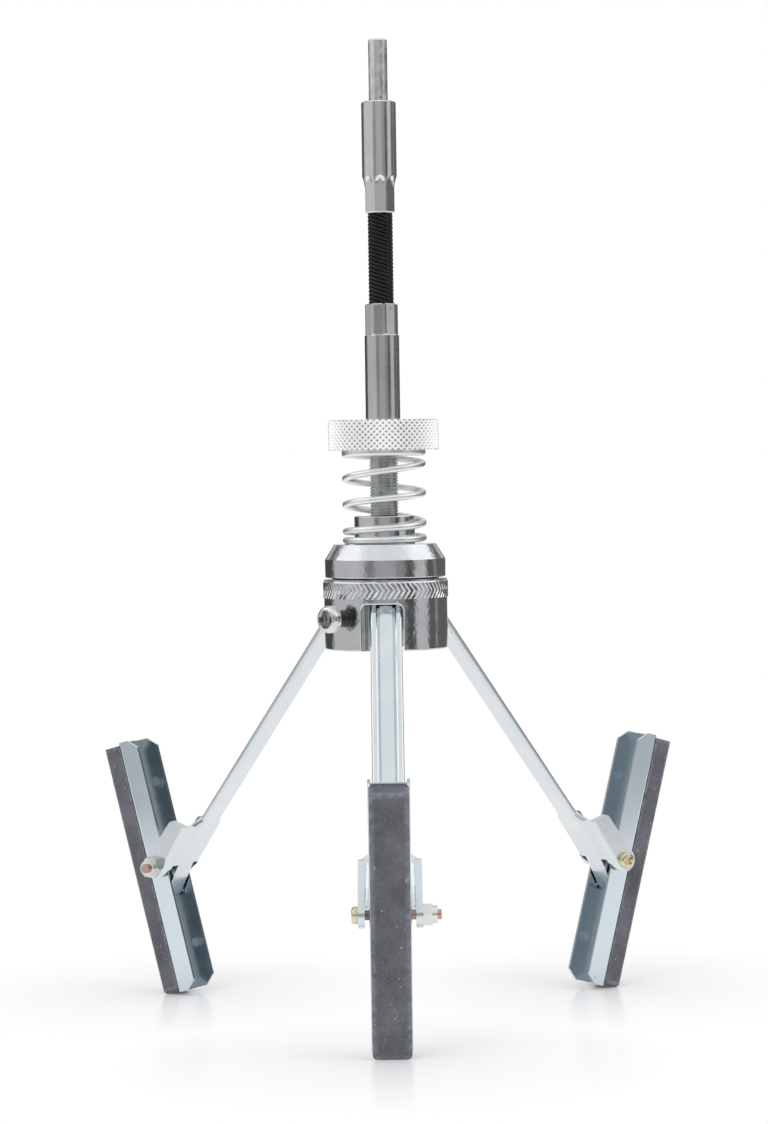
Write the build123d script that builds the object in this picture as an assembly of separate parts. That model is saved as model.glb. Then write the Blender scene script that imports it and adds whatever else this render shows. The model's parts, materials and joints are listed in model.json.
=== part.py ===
from build123d import *
import os
from math import cos, radians, sin, sqrt, tan

# Cylinder hone with three stones on swinging arms and a flexible drive.
# Millimetres. The spindle axis is Z, up is towards the drill, and z = 0 is where
# the drive shank leaves the upper ferrule. The front arm points to -Y.

# Flexible drive
shank_d = 7.2
shank_length = 23.7
shank_chamfer = 0.5
shank_seat_depth = 22.0
shank_seat_d = 6.8
shank_foot_length = 4.0
ferrule_d = 13.2
ferrule_edge = 0.4
upper_ferrule_length = 42.1
upper_crimp_length = 14.1
upper_crimp_d = 11.8
lower_ferrule_length = 44.1
lower_crimp_length = 12.1
lower_crimp_d = 12.5
crimp_step_length = 0.8
coil_d = 9.6
coil_bore_d = 6.2
coil_wire_d = 2.15
coil_valley = 0.55
flex_length = 34.4
coil_end_gap = 1.1
core_d = 6.1
fit_gap = 0.02

# Spindle, knob and spring
spindle_d = 10.9
spindle_neck_length = 21.0
knob_d = 42.0
knob_height = 11.5
knob_chamfer = 0.9
knob_thread_gap = 0.07
washer_d = 32.0
washer_thickness = 0.8
washer_bore_gap = 0.2
spring_d = 32.1
spring_wire_d = 2.6
spring_length = 34.7
spring_low_turns = 1.2
spring_low_lift = 2.75
spring_high_turns = 0.6
spring_high_lift = 0.8
spring_active_turns = 2.78
spring_start_deg = 169.2
spring_seat_gap = 0.05

# Head cap
cap_d = 46.0
cap_top_d = 38.9
cap_cone_height = 5.8
cap_band_height = 6.9
cap_top_thickness = 3.5
cap_wall = 2.5
cap_bore_gap = 0.1
cap_edge = 0.3
boss_d = 23.1
boss_height = 10.6
presser_d = 14.6
cap_lift_gap = 0.5

# Head sleeve
sleeve_d = 47.0
sleeve_wall = 3.1
sleeve_height = 26.7
sleeve_edge = 0.5
knurl_height = 6.6
knurl_proud = 0.2
lip_height = 0.6
lip_proud = 0.35
slot_width = 16.2
slot_height = 17.8
slot_corner = 2.6
sleeve_turn_deg = -3.8
arm_count = 3

# Spider that carries the hinge pins
spider_fit_gap = 0.05
hinge_r = 13.8
hinge_drop = 5.7
hinge_pin_d = 4.0
hinge_pin_length = 19.0
hinge_pin_chamfer = 0.3
hinge_gap = 0.05
spider_rise = 3.6
spider_seat_drop = 4.7
spider_hub_height = 7.5
spider_well_d = 19.6
arm_slot_gap = 0.3
arm_slot_root = 9.3
tail_d = 8.0
tail_overhang = 0.5
end_washer_d = 17.0
end_washer_thickness = 1.6
end_nut_flats = 13.0
end_nut_height = 6.5

# Lock screw in the sleeve
lock_deg = -133.0
lock_drop = 14.4
lock_d = 6.0
lock_head_d = 10.3
lock_head_height = 3.6
lock_stand_off = 6.2
lock_length = 17.8
lock_hole_gap = 0.2

# Cross-recessed pan heads and hexagon nuts, as shares of their own size
head_round_share = 0.5
recess_width_share = 0.17
recess_length_share = 0.62
recess_depth_share = 0.45
nut_dome_share = 0.6

# Arms: t runs down the arm from the hinge pin, n points outwards from it
open_deg = 36.2
fold_deg = 36.0
arm_width = 11.8
arm_back = 0.35
arm_thickness = 2.4
arm_corner = 1.0
band_width = 2.1
groove_width = 1.05
groove_depth = 1.0
rib_side = 0.4
rib_crown = 0.35
knuckle_d = 6.6
horn_length = 6.6
horn_root_d = 2.4
horn_tip_d = 3.0
horn_width = 6.0
horn_gap = 0.05
arm_length = 139.2
pivot_offset = 6.16
yoke_width = 22.8
flare_start = 34.0
flare_end = 24.0
bar_lap = 4.0
ear_top = 20.0
ear_top_slope = 2.4
ear_height = 4.65
ear_lower_edge = 4.7
ear_toe_deg = 126.0
ear_corner = 2.0
yoke_bend_top = 5.0
yoke_bend = 3.4
yoke_lap = 0.3
skirt_width = 10.6
skirt_corner = 3.2
skirt_bend_deg = 10.0
skirt_stop_gap = 0.3

# Pivot screws
pivot_d = 3.5
pivot_gap = 0.08
pivot_head_d = 6.2
pivot_head_height = 2.3
nut_flats = 7.5
nut_height = 3.3
collar_d = 6.2
collar_height = 1.8
pivot_thread_overhang = 1.4

# Stones and their holders: measured from the pivot, outwards and up
stone_lean_deg = 15.4
stone_length = 100.0
stone_width = 14.0
stone_thickness = 7.2
stone_corner = 1.8
stone_edge = 0.35
stone_centre_offset = 0.4
holder_width = 14.8
holder_sheet = 1.1
holder_bend = 1.3
holder_back = 5.78
holder_depth = 8.7
holder_over_top = 1.0
holder_under_end = 0.6
holder_chamfer_long = 3.7
holder_chamfer_deep = 4.2

# Heights along the axis
z_upper_end = -upper_ferrule_length
z_lower_top = z_upper_end - flex_length
z_knob_top = z_lower_top - lower_ferrule_length
z_knob_bottom = z_knob_top - knob_height
z_washer_bottom = z_knob_bottom - washer_thickness
z_cap_top = z_washer_bottom - spring_length
z_cap_bottom = z_cap_top - cap_cone_height - cap_band_height
z_sleeve_top = z_cap_bottom - cap_lift_gap
z_sleeve_bottom = z_sleeve_top - sleeve_height
z_hinge = z_sleeve_top - hinge_drop
z_spider_seat = z_hinge - spider_seat_drop
z_spider_bottom = z_spider_seat - spider_hub_height
z_lock = z_sleeve_top - lock_drop

ARM_NAMES = {"front": 0, "right": 120, "left": 240}
SIDE = Plane(origin=(0, 0, 0), x_dir=(0, -1, 0), z_dir=(1, 0, 0))
STONE_SIDE = Plane(origin=(0, 0, 0), x_dir=(0, -1, 0), z_dir=(-1, 0, 0))
HALF = Plane.XZ


def turned(points):
    """A solid turned about the axis from (radius, z) points."""
    return revolve(HALF * make_face(Polyline(*points, close=True)), Axis.Z)


def tube(outer_d, bore_d, z_low, z_high):
    """A plain tube on the axis."""
    ring = Circle(outer_d / 2) - Circle(bore_d / 2)
    return Pos(0, 0, z_low) * extrude(ring, z_high - z_low)


def rod(diameter, z_low, z_high):
    """A plain round bar on the axis."""
    return Pos(0, 0, z_low) * extrude(Circle(diameter / 2), z_high - z_low)


def cross_rod(diameter, x_low, x_high):
    """A round bar along X through the origin."""
    return Pos(x_low, 0, 0) * extrude(Plane.YZ * Circle(diameter / 2), x_high - x_low)


def pan_head(diameter, height):
    """A pan head with a cross recess, standing on z = 0 with its crown up."""
    head = extrude(Circle(diameter / 2), height)
    head = fillet(head.edges().group_by(Axis.Z)[-1], head_round_share * height)
    length = recess_length_share * diameter
    width = recess_width_share * diameter
    depth = recess_depth_share * height
    cross = Rectangle(length, width) + Rectangle(width, length)
    return head - Pos(0, 0, height - depth) * extrude(cross, depth)


def hexagon_nut(flats, height):
    """A hexagon nut without its hole, standing on z = 0, with its corners turned down."""
    hexagon = extrude(RegularPolygon(flats / 2, 6, major_radius=False), height)
    return hexagon & Pos(0, 0, height / 2) * Sphere(nut_dome_share * flats)


def drive_shank():
    r = shank_d / 2
    seat_r = shank_seat_d / 2
    foot_r = coil_d / 2
    z_foot = -shank_seat_depth - shank_foot_length
    return turned([
        (0, shank_length), (r - shank_chamfer, shank_length), (r, shank_length - shank_chamfer),
        (r, 0), (seat_r, 0), (seat_r, -shank_seat_depth), (foot_r, -shank_seat_depth),
        (foot_r, z_foot), (0, z_foot),
    ])


def upper_ferrule():
    r = ferrule_d / 2
    crimp_r = upper_crimp_d / 2
    seat_r = shank_seat_d / 2 + fit_gap
    coil_r = coil_d / 2 + fit_gap
    z_crimp = z_upper_end + upper_crimp_length
    return turned([
        (seat_r, 0), (r - ferrule_edge, 0), (r, -ferrule_edge), (r, z_crimp),
        (crimp_r, z_crimp - crimp_step_length), (crimp_r, z_upper_end), (coil_r, z_upper_end),
        (coil_r, -shank_seat_depth), (seat_r, -shank_seat_depth),
    ])


def flex_core():
    """The fine inner winding, from the shank's foot to the spindle's neck."""
    z_top = -shank_seat_depth - shank_foot_length
    z_bottom = z_knob_top + spindle_neck_length
    return rod(core_d, z_bottom, z_top)


def flex_coil():
    """The outer winding, as the rings of its coils between two plain seated ends."""
    r = coil_d / 2
    bore = coil_bore_d / 2
    z_high = -shank_seat_depth - shank_foot_length - coil_end_gap
    z_low = z_knob_top + spindle_neck_length + coil_end_gap
    rings = int(flex_length / coil_wire_d)
    pitch = flex_length / rings
    body = tube(coil_d, coil_bore_d, z_low, z_high)
    groove = Pos(r + coil_wire_d / 2 - coil_valley, 0) * Circle(coil_wire_d / 2)
    for i in range(1, rings):
        z = z_lower_top + i * pitch
        body -= Pos(0, 0, z) * revolve(HALF * groove, Axis.Z)
    return body


def lower_ferrule():
    r = ferrule_d / 2
    crimp_r = lower_crimp_d / 2
    bore = coil_d / 2 + fit_gap
    z_crimp = z_lower_top - lower_crimp_length
    return turned([
        (bore, z_lower_top), (crimp_r, z_lower_top), (crimp_r, z_crimp + crimp_step_length),
        (r, z_crimp), (r, z_knob_top + ferrule_edge), (r - ferrule_edge, z_knob_top),
        (bore, z_knob_top),
    ])


def spindle():
    r = spindle_d / 2
    neck_r = coil_d / 2
    tail_r = tail_d / 2
    z_tail = z_spider_bottom - end_washer_thickness - end_nut_height - tail_overhang
    return turned([
        (0, z_knob_top + spindle_neck_length), (neck_r, z_knob_top + spindle_neck_length),
        (neck_r, z_knob_top), (r, z_knob_top), (r, z_spider_seat), (tail_r, z_spider_seat),
        (tail_r, z_tail), (0, z_tail),
    ])


def tension_knob():
    body = tube(knob_d, spindle_d + 2 * knob_thread_gap, z_knob_bottom, z_knob_top)
    rims = body.edges().filter_by(GeomType.CIRCLE).group_by(SortBy.RADIUS)[-1]
    return chamfer(rims, knob_chamfer)


def spring_washer():
    return tube(washer_d, spindle_d + 2 * washer_bore_gap, z_washer_bottom, z_knob_bottom)


def helix_wire(radius, pitch, turns, z_start, start_deg):
    """One run of round wire along a right-hand helix."""
    path = Edge.make_helix(pitch, pitch * turns, radius)
    section = Plane(origin=path @ 0, z_dir=path % 0) * Circle(spring_wire_d / 2)
    return Pos(0, 0, z_start) * Rot(0, 0, start_deg) * sweep(section, path=path, is_frenet=True)


def tension_spring():
    """Open coils between two closed end coils, joined by round bends."""
    radius = (spring_d - spring_wire_d) / 2
    z_low = z_cap_top + spring_wire_d / 2 + spring_seat_gap
    z_high = z_washer_bottom - spring_wire_d / 2 - spring_seat_gap
    end_rise = spring_low_lift * spring_low_turns + spring_high_lift * spring_high_turns
    active_rise = z_high - z_low - end_rise
    runs = [
        (spring_low_lift, spring_low_turns),
        (active_rise / spring_active_turns, spring_active_turns),
        (spring_high_lift, spring_high_turns),
    ]
    wire = None
    z = z_low
    turn = spring_start_deg
    for pitch, turns in runs:
        run = helix_wire(radius, pitch, turns, z, turn)
        if wire is None:
            wire = run
        else:
            bend = Rot(0, 0, turn) * Pos(radius, 0, z) * Sphere(spring_wire_d / 2)
            wire = wire + bend + run
        z += pitch * turns
        turn += 360 * turns
    return wire


def presser_bottom():
    """The height of the cap's lower end, which rests on the arms' horns."""
    horn_fall = horn_length * sin(radians(fold_deg / 2))
    return z_hinge - horn_fall + horn_tip_d / 2 + horn_gap


def head_cap():
    r = cap_d / 2
    top_r = cap_top_d / 2
    z_cone = z_cap_top - cap_cone_height
    z_boss = z_cap_top + boss_height
    bore_r = spindle_d / 2 + cap_bore_gap
    z_ceiling = z_cap_top - cap_top_thickness
    presser_r = presser_d / 2
    return turned([
        (bore_r, z_boss), (boss_d / 2 - cap_edge, z_boss), (boss_d / 2, z_boss - cap_edge),
        (boss_d / 2, z_cap_top), (top_r, z_cap_top), (r, z_cone), (r, z_cap_bottom + cap_edge),
        (r - cap_edge, z_cap_bottom), (r - cap_wall, z_cap_bottom), (r - cap_wall, z_cone),
        (top_r - cap_wall, z_ceiling), (presser_r, z_ceiling), (presser_r, presser_bottom()),
        (bore_r, presser_bottom()),
    ])


def head_sleeve():
    r = sleeve_d / 2
    bore = r - sleeve_wall
    knurl_r = r + knurl_proud
    lip_r = r + lip_proud
    z_lip = z_sleeve_top - lip_height
    z_knurl = z_lip - knurl_height
    sleeve = turned([
        (bore, z_sleeve_top), (lip_r - knurl_proud, z_sleeve_top), (lip_r, z_lip + lip_height / 2),
        (lip_r - knurl_proud, z_lip), (knurl_r, z_lip), (knurl_r, z_knurl), (r, z_knurl),
        (r, z_sleeve_bottom + sleeve_edge), (r - sleeve_edge, z_sleeve_bottom),
        (bore, z_sleeve_bottom),
    ])
    outline = Pos(0, z_sleeve_bottom) * Rectangle(slot_width, 2 * slot_height)
    outline = fillet(outline.vertices().group_by(Axis.Y)[-1], slot_corner)
    slot = extrude(Plane.XZ * outline, sleeve_d)
    for i in range(arm_count):
        sleeve -= Rot(0, 0, sleeve_turn_deg + i * 360 / arm_count) * slot
    hole = cross_rod(lock_d + 2 * lock_hole_gap, 0, sleeve_d)
    return sleeve - Pos(0, 0, z_lock) * Rot(0, 0, lock_deg) * hole


def lock_screw():
    """Pan-head screw that locks the sleeve on the spider."""
    r_head = sleeve_d / 2 + lock_stand_off
    shank = cross_rod(lock_d, r_head - lock_length, r_head)
    head = Pos(r_head, 0, 0) * Rot(0, 90, 0) * pan_head(lock_head_d, lock_head_height)
    return Pos(0, 0, z_lock) * Rot(0, 0, lock_deg) * (shank + head)


def spider():
    """The hub on the spindle's foot: three open bays for the arms' knuckles."""
    spider_r = sleeve_d / 2 - sleeve_wall - spider_fit_gap
    z_top = z_hinge + spider_rise
    hub = tube(2 * spider_r, tail_d + 2 * fit_gap, z_spider_bottom, z_top)
    hub -= rod(spider_well_d, z_spider_seat, z_top)
    bay_width = arm_width + 2 * arm_slot_gap
    bay = Pos(0, -arm_slot_root - spider_r, 0) * Box(bay_width, 2 * spider_r, 4 * spider_r)
    pin_hole = cross_rod(hinge_pin_d + 2 * fit_gap, -hinge_pin_length / 2, hinge_pin_length / 2)
    for i in range(arm_count):
        turn = Rot(0, 0, i * 360 / arm_count)
        hub -= turn * Pos(0, 0, z_hinge) * bay
        hub -= turn * Pos(0, -hinge_r, z_hinge) * pin_hole
    r_tip = sleeve_d / 2 + lock_stand_off - lock_length
    tapped = cross_rod(lock_d + 2 * fit_gap, r_tip, sleeve_d)
    return hub - Pos(0, 0, z_lock) * Rot(0, 0, lock_deg) * tapped


def hinge_pins():
    pin = cross_rod(hinge_pin_d, -hinge_pin_length / 2, hinge_pin_length / 2)
    pin = chamfer(pin.edges().filter_by(GeomType.CIRCLE), hinge_pin_chamfer)
    turns = [Rot(0, 0, i * 360 / arm_count) for i in range(arm_count)]
    return Compound([turn * Pos(0, -hinge_r, z_hinge) * pin for turn in turns])


def end_washer():
    return tube(end_washer_d, tail_d + 2 * fit_gap, z_spider_bottom - end_washer_thickness, z_spider_bottom)


def end_nut():
    z_low = z_spider_bottom - end_washer_thickness - end_nut_height
    nut = Pos(0, 0, z_low) * hexagon_nut(end_nut_flats, end_nut_height)
    return nut - rod(tail_d + 2 * fit_gap, z_low, z_spider_bottom)


def bar_section():
    """Cross-section of the arm's bar: two edge bands, two grooves and a crowned rib."""
    edge = arm_width / 2
    top = arm_back + arm_thickness
    inner = edge - band_width
    valley = inner - groove_width
    rib_edge = valley - rib_side
    rib_top = top - rib_crown
    low = top - groove_depth
    outline = Polyline(
        (-rib_edge, -rib_top), (-valley, -low), (-inner, -top), (-edge, -top), (-edge, -arm_back),
        (edge, -arm_back), (edge, -top), (inner, -top), (valley, -low), (rib_edge, -rib_top),
    )
    crown = ThreePointArc((rib_edge, -rib_top), (0, -top), (-rib_edge, -rib_top))
    face = make_face(outline + crown)
    sides = face.vertices().group_by(Axis.X)
    return fillet(sides[0] + sides[-1], arm_corner)


def yoke_section(width, bend, height):
    """U-shaped sheet section with its web on the arm's back and its ears outwards."""
    w = width / 2
    b = arm_back
    inner = w - arm_thickness
    k = bend * (1 - sqrt(0.5))
    ki = (bend - arm_thickness) * (1 - sqrt(0.5))
    bi = b + arm_thickness
    lines = [
        Line((-w, -height), (-w, -b - bend)),
        ThreePointArc((-w, -b - bend), (-w + k, -b - k), (-w + bend, -b)),
        Line((-w + bend, -b), (w - bend, -b)),
        ThreePointArc((w - bend, -b), (w - k, -b - k), (w, -b - bend)),
        Line((w, -b - bend), (w, -height)),
        Line((w, -height), (inner, -height)),
        Line((inner, -height), (inner, -b - bend)),
        ThreePointArc((inner, -b - bend), (inner - ki, -bi - ki), (w - bend, -bi)),
        Line((w - bend, -bi), (-w + bend, -bi)),
        ThreePointArc((-w + bend, -bi), (-inner + ki, -bi - ki), (-inner, -b - bend)),
        Line((-inner, -b - bend), (-inner, -height)),
        Line((-inner, -height), (-w, -height)),
    ]
    return make_face(lines)


def skirt_length():
    """How far past the bend the skirt reaches before it would meet the holder's web."""
    turn = radians(open_deg + stone_lean_deg)
    bend = radians(skirt_bend_deg)
    t_bend = arm_length - ear_lower_edge
    stop = holder_back - holder_sheet - skirt_stop_gap
    t0 = t_bend + arm_thickness * sin(bend)
    n0 = arm_back + arm_thickness * cos(bend)
    start = (t0 - arm_length) * sin(turn) + (n0 - pivot_offset) * cos(turn)
    gain = cos(bend) * sin(turn) - sin(bend) * cos(turn)
    return (stop - start) / gain


def skirt():
    """The web's narrow end, bent towards the holder, on which the stone's tilt stops."""
    bend = radians(skirt_bend_deg)
    reach = skirt_length()
    t_bend = arm_length - ear_lower_edge
    face = arm_back + arm_thickness
    tip = (arm_back - reach * sin(bend), t_bend + reach * cos(bend))
    tip_face = (tip[0] + arm_thickness * cos(bend), tip[1] + arm_thickness * sin(bend))
    side = make_face(Polyline(
        (arm_back, t_bend - skirt_width / 2), (arm_back, t_bend), tip, tip_face,
        (face, t_bend + arm_thickness * tan(bend / 2)), (face, t_bend - skirt_width / 2), close=True,
    ))
    plan = Pos(0, -tip_face[1] / 2) * Rectangle(skirt_width, tip_face[1])
    plan = fillet(plan.vertices().group_by(Axis.Y)[0], skirt_corner)
    tongue = extrude(SIDE * side, skirt_width, both=True)
    return tongue & extrude(Plane.XZ * plan, arm_length, both=True)


def ear_outline():
    """The ears seen from the side, with the lug round the pivot."""
    t_flare = arm_length - flare_start
    t_ear = arm_length - ear_top
    n_ear = pivot_offset + ear_height
    face = arm_back + arm_thickness
    toe = radians(ear_toe_deg)
    side = make_face(Polyline(
        (0, t_flare), (face, t_flare), (face, t_ear - ear_top_slope), (n_ear, t_ear), (n_ear, arm_length),
        (pivot_offset, arm_length), (pivot_offset - ear_height * sin(toe), arm_length - ear_height * cos(toe)),
        (0, arm_length - ear_lower_edge), close=True,
    ))
    corner = side.vertices().sort_by_distance((n_ear, t_ear))[0]
    return fillet(corner, ear_corner) + Pos(pivot_offset, arm_length) * Circle(ear_height)


def yoke():
    """The arm's wide end: the web opens out, and its edges turn up into two ears."""
    t_low = arm_length - ear_lower_edge
    deep = pivot_offset + 2 * ear_height
    upper = loft([
        Pos(0, 0, flare_start - arm_length) * yoke_section(arm_width + yoke_lap, yoke_bend, deep),
        Pos(0, 0, flare_end - arm_length) * yoke_section(yoke_width - yoke_lap, yoke_bend_top, deep),
        Pos(0, 0, -t_low) * yoke_section(yoke_width, yoke_bend, deep),
    ], ruled=True)
    between = Rectangle(yoke_width - 2 * arm_thickness, 2 * deep)
    lower = extrude(yoke_section(yoke_width, yoke_bend, deep) - between, -2 * ear_height)
    ears = extrude(SIDE * ear_outline(), yoke_width, both=True)
    return (upper & ears) + (Pos(0, 0, -t_low) * lower & ears) + skirt()


def horn():
    """The lug behind the hinge pin that the cap's lower end presses on."""
    rise = radians(open_deg - fold_deg / 2)
    tip = Pos(-horn_length * cos(rise), -horn_length * sin(rise))
    outline = Circle(horn_root_d / 2).edges() + (tip * Circle(horn_tip_d / 2)).edges()
    return extrude(SIDE * make_hull(outline), horn_width / 2, both=True)


def arm():
    """One arm, hanging straight down from its hinge pin at the origin."""
    bar = extrude(bar_section(), flare_start - arm_length - bar_lap)
    knuckle = cross_rod(knuckle_d, -arm_width / 2, arm_width / 2)
    body = bar + yoke() + knuckle + horn()
    body -= cross_rod(hinge_pin_d + 2 * hinge_gap, -arm_width, arm_width)
    bore = cross_rod(pivot_d + 2 * fit_gap, -yoke_width, yoke_width)
    return body - Pos(0, -pivot_offset, -arm_length) * bore


def pivot_screw():
    """Pan-head screw through the ears, head on the -X side."""
    head_x = -yoke_width / 2
    end_x = yoke_width / 2 + nut_height + collar_height + pivot_thread_overhang
    head = Pos(head_x, 0, 0) * Rot(0, -90, 0) * pan_head(pivot_head_d, pivot_head_height)
    return cross_rod(pivot_d, head_x, end_x) + head


def lock_nut():
    """Hexagon nut with its round nylon collar, on the +X side."""
    x = yoke_width / 2
    end_x = x + nut_height + collar_height
    body = Pos(x, 0, 0) * Rot(0, 90, 0) * hexagon_nut(nut_flats, nut_height)
    collar = cross_rod(collar_d, x + nut_height, end_x)
    return body + collar - cross_rod(pivot_d + 2 * fit_gap, 0, end_x)


def stone_holder():
    """Pressed channel, open towards the arm, with the ends of its flanges cut back."""
    w = holder_width / 2
    front = holder_back
    rear = holder_back - holder_depth
    top = stone_centre_offset + stone_length / 2 + holder_over_top
    bottom = stone_centre_offset - stone_length / 2 - holder_under_end
    outer = Pos(0, -(front + rear) / 2) * Rectangle(2 * w, holder_depth)
    outer = fillet(outer.vertices().group_by(Axis.Y)[0], holder_bend)
    inner = Pos(0, -(front + rear) / 2 + holder_sheet) * Rectangle(2 * (w - holder_sheet), holder_depth)
    inner = fillet(inner.vertices().group_by(Axis.Y)[0], holder_bend - holder_sheet)
    channel = Pos(0, 0, bottom) * extrude(outer - inner, top - bottom)
    side = make_face(Polyline(
        (front, top), (rear + holder_chamfer_deep, top), (rear, top - holder_chamfer_long),
        (rear, bottom + holder_chamfer_long), (rear + holder_chamfer_deep, bottom),
        (front, bottom), close=True,
    ))
    channel &= extrude(STONE_SIDE * side, holder_width, both=True)
    return channel - cross_rod(pivot_d + 2 * pivot_gap, -holder_width, holder_width)


def stone():
    """Abrasive stick bonded on the holder's web."""
    block = Pos(0, 0, stone_centre_offset) * Box(stone_width, stone_thickness, stone_length)
    block = fillet(block.edges().filter_by(Axis.Y).group_by(Axis.Z)[0], stone_corner)
    block = Pos(0, -holder_back - stone_thickness / 2, 0) * block
    return chamfer(block.faces().sort_by(Axis.Y)[0].edges(), stone_edge)


def arm_place(turn_deg):
    """From the arm's own frame, hanging from its pin, to its open place."""
    return Rot(0, 0, turn_deg) * Pos(0, -hinge_r, z_hinge) * Rot(-open_deg, 0, 0)


def stone_place(turn_deg):
    """From the stone's own frame, about its pivot, to its place at rest."""
    return arm_place(turn_deg) * Pos(0, -pivot_offset, -arm_length) * Rot(open_deg + stone_lean_deg, 0, 0)


def build():
    nodes = {
        "drive_shank": drive_shank(),
        "upper_ferrule": upper_ferrule(),
        "flex_core": flex_core(),
        "flex_coil": flex_coil(),
        "lower_ferrule": lower_ferrule(),
        "spindle": spindle(),
        "tension_knob": tension_knob(),
        "spring_washer": spring_washer(),
        "tension_spring": tension_spring(),
        "head_cap": head_cap(),
        "head_sleeve": head_sleeve(),
        "lock_screw": lock_screw(),
        "spider": spider(),
        "hinge_pins": hinge_pins(),
        "end_washer": end_washer(),
        "end_nut": end_nut(),
    }
    arm_body = arm()
    screw_body = pivot_screw()
    nut_body = lock_nut()
    holder_body = stone_holder()
    stone_body = stone()
    for name, turn_deg in ARM_NAMES.items():
        at_pivot = arm_place(turn_deg) * Pos(0, -pivot_offset, -arm_length)
        nodes["arm_" + name] = arm_place(turn_deg) * arm_body
        nodes["pivot_screw_" + name] = at_pivot * screw_body
        nodes["lock_nut_" + name] = at_pivot * nut_body
        nodes["stone_holder_" + name] = stone_place(turn_deg) * holder_body
        nodes["stone_" + name] = stone_place(turn_deg) * stone_body
    return nodes


if __name__ == "__main__":
    os.makedirs("parts", exist_ok=True)
    for node, shape in build().items():
        shape.label = node
        export_step(shape, f"parts/{node}.step")
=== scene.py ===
import json
from math import atan2, cos, hypot, pi, radians, sin, sqrt, tan
from typing import NamedTuple

import bpy
from mathutils import Matrix, Vector


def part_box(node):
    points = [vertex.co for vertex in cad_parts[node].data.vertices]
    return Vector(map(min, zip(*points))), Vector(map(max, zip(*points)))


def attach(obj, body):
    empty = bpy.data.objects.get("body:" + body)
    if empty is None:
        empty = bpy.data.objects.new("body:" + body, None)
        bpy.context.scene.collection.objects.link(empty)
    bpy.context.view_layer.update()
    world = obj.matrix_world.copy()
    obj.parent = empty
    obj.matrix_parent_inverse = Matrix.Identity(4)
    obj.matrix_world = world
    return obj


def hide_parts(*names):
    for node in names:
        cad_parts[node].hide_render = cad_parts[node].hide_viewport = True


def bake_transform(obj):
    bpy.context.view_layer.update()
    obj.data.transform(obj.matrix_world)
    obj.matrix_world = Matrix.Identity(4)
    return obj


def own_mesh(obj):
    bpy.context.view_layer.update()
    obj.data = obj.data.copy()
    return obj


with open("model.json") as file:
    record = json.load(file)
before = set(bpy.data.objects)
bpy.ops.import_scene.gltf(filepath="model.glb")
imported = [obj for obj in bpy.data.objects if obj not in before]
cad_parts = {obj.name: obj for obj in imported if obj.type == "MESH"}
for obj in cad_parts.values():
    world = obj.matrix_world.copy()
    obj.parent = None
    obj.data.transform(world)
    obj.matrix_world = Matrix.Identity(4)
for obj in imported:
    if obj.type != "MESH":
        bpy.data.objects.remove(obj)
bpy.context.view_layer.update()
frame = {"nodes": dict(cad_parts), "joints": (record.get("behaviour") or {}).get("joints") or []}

bl_info = {
    "name": "Cylinder hone",
    "version": (1, 0, 0),
    "blender": (4, 5, 0),
    "location": "View3D > Sidebar > Hone",
    "description": "Dresses a three-arm cylinder hone and sets it on a studio floor",
    "category": "Object",
}

ARM_TURNS = {"front": 0.0, "right": 120.0, "left": 240.0}

# The studio's walls as polished metal sees them: where each band ends, in degrees from the
# camera's side and growing to the right, and how bright it is, at eye level and higher up
LEVEL_BANDS = (
    (-168, 1.0), (-117, 0.07), (-39, 0.57), (-22, 0.24), (19, 0.42), (39, 0.29), (57, 0.08), (85, 0.58),
    (107, 0.12), (112, 0.36), (168, 0.13), (180, 1.0),
)
MIDDLE_BANDS = ((-146, 0.55), (-119, 0.12), *LEVEL_BANDS[2:-2], (146, 0.13), (180, 0.55))
BROW_BANDS = ((-160, 0.9), (-122, 0.3), (-57, 1.9), (57, 0.92), (122, 1.9), (160, 0.3), (180, 0.9))
RAISED_BANDS = ((-160, 0.9), (-122, 0.3), (-57, 1.25), (57, 0.92), (122, 1.25), (160, 0.3), (180, 0.9))

FULL_TURN = 2 * pi

# Name, place in metres, side in metres and power in watts of each lamp
LAMPS = (("key_light", (-0.7, -0.9, 0.9), 0.9, 8.0), ("side_light", (1.0, -0.5, 0.5), 0.7, 4.0))


class Metal(NamedTuple):
    """A metal's look: its colour in HoneFinishes, how that is scaled in its clouds, and its other values."""

    tone: str
    clouds: tuple
    cloud_scale: float
    roughness: float
    spread: float
    bump: float
    pits: float
    ripple: float
    grain_scale: float = 2400.0
    grain_stretch: tuple = (1, 1, 1)
    plain: tuple = (1, 1, 1)
    metallic: float = 1.0


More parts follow.
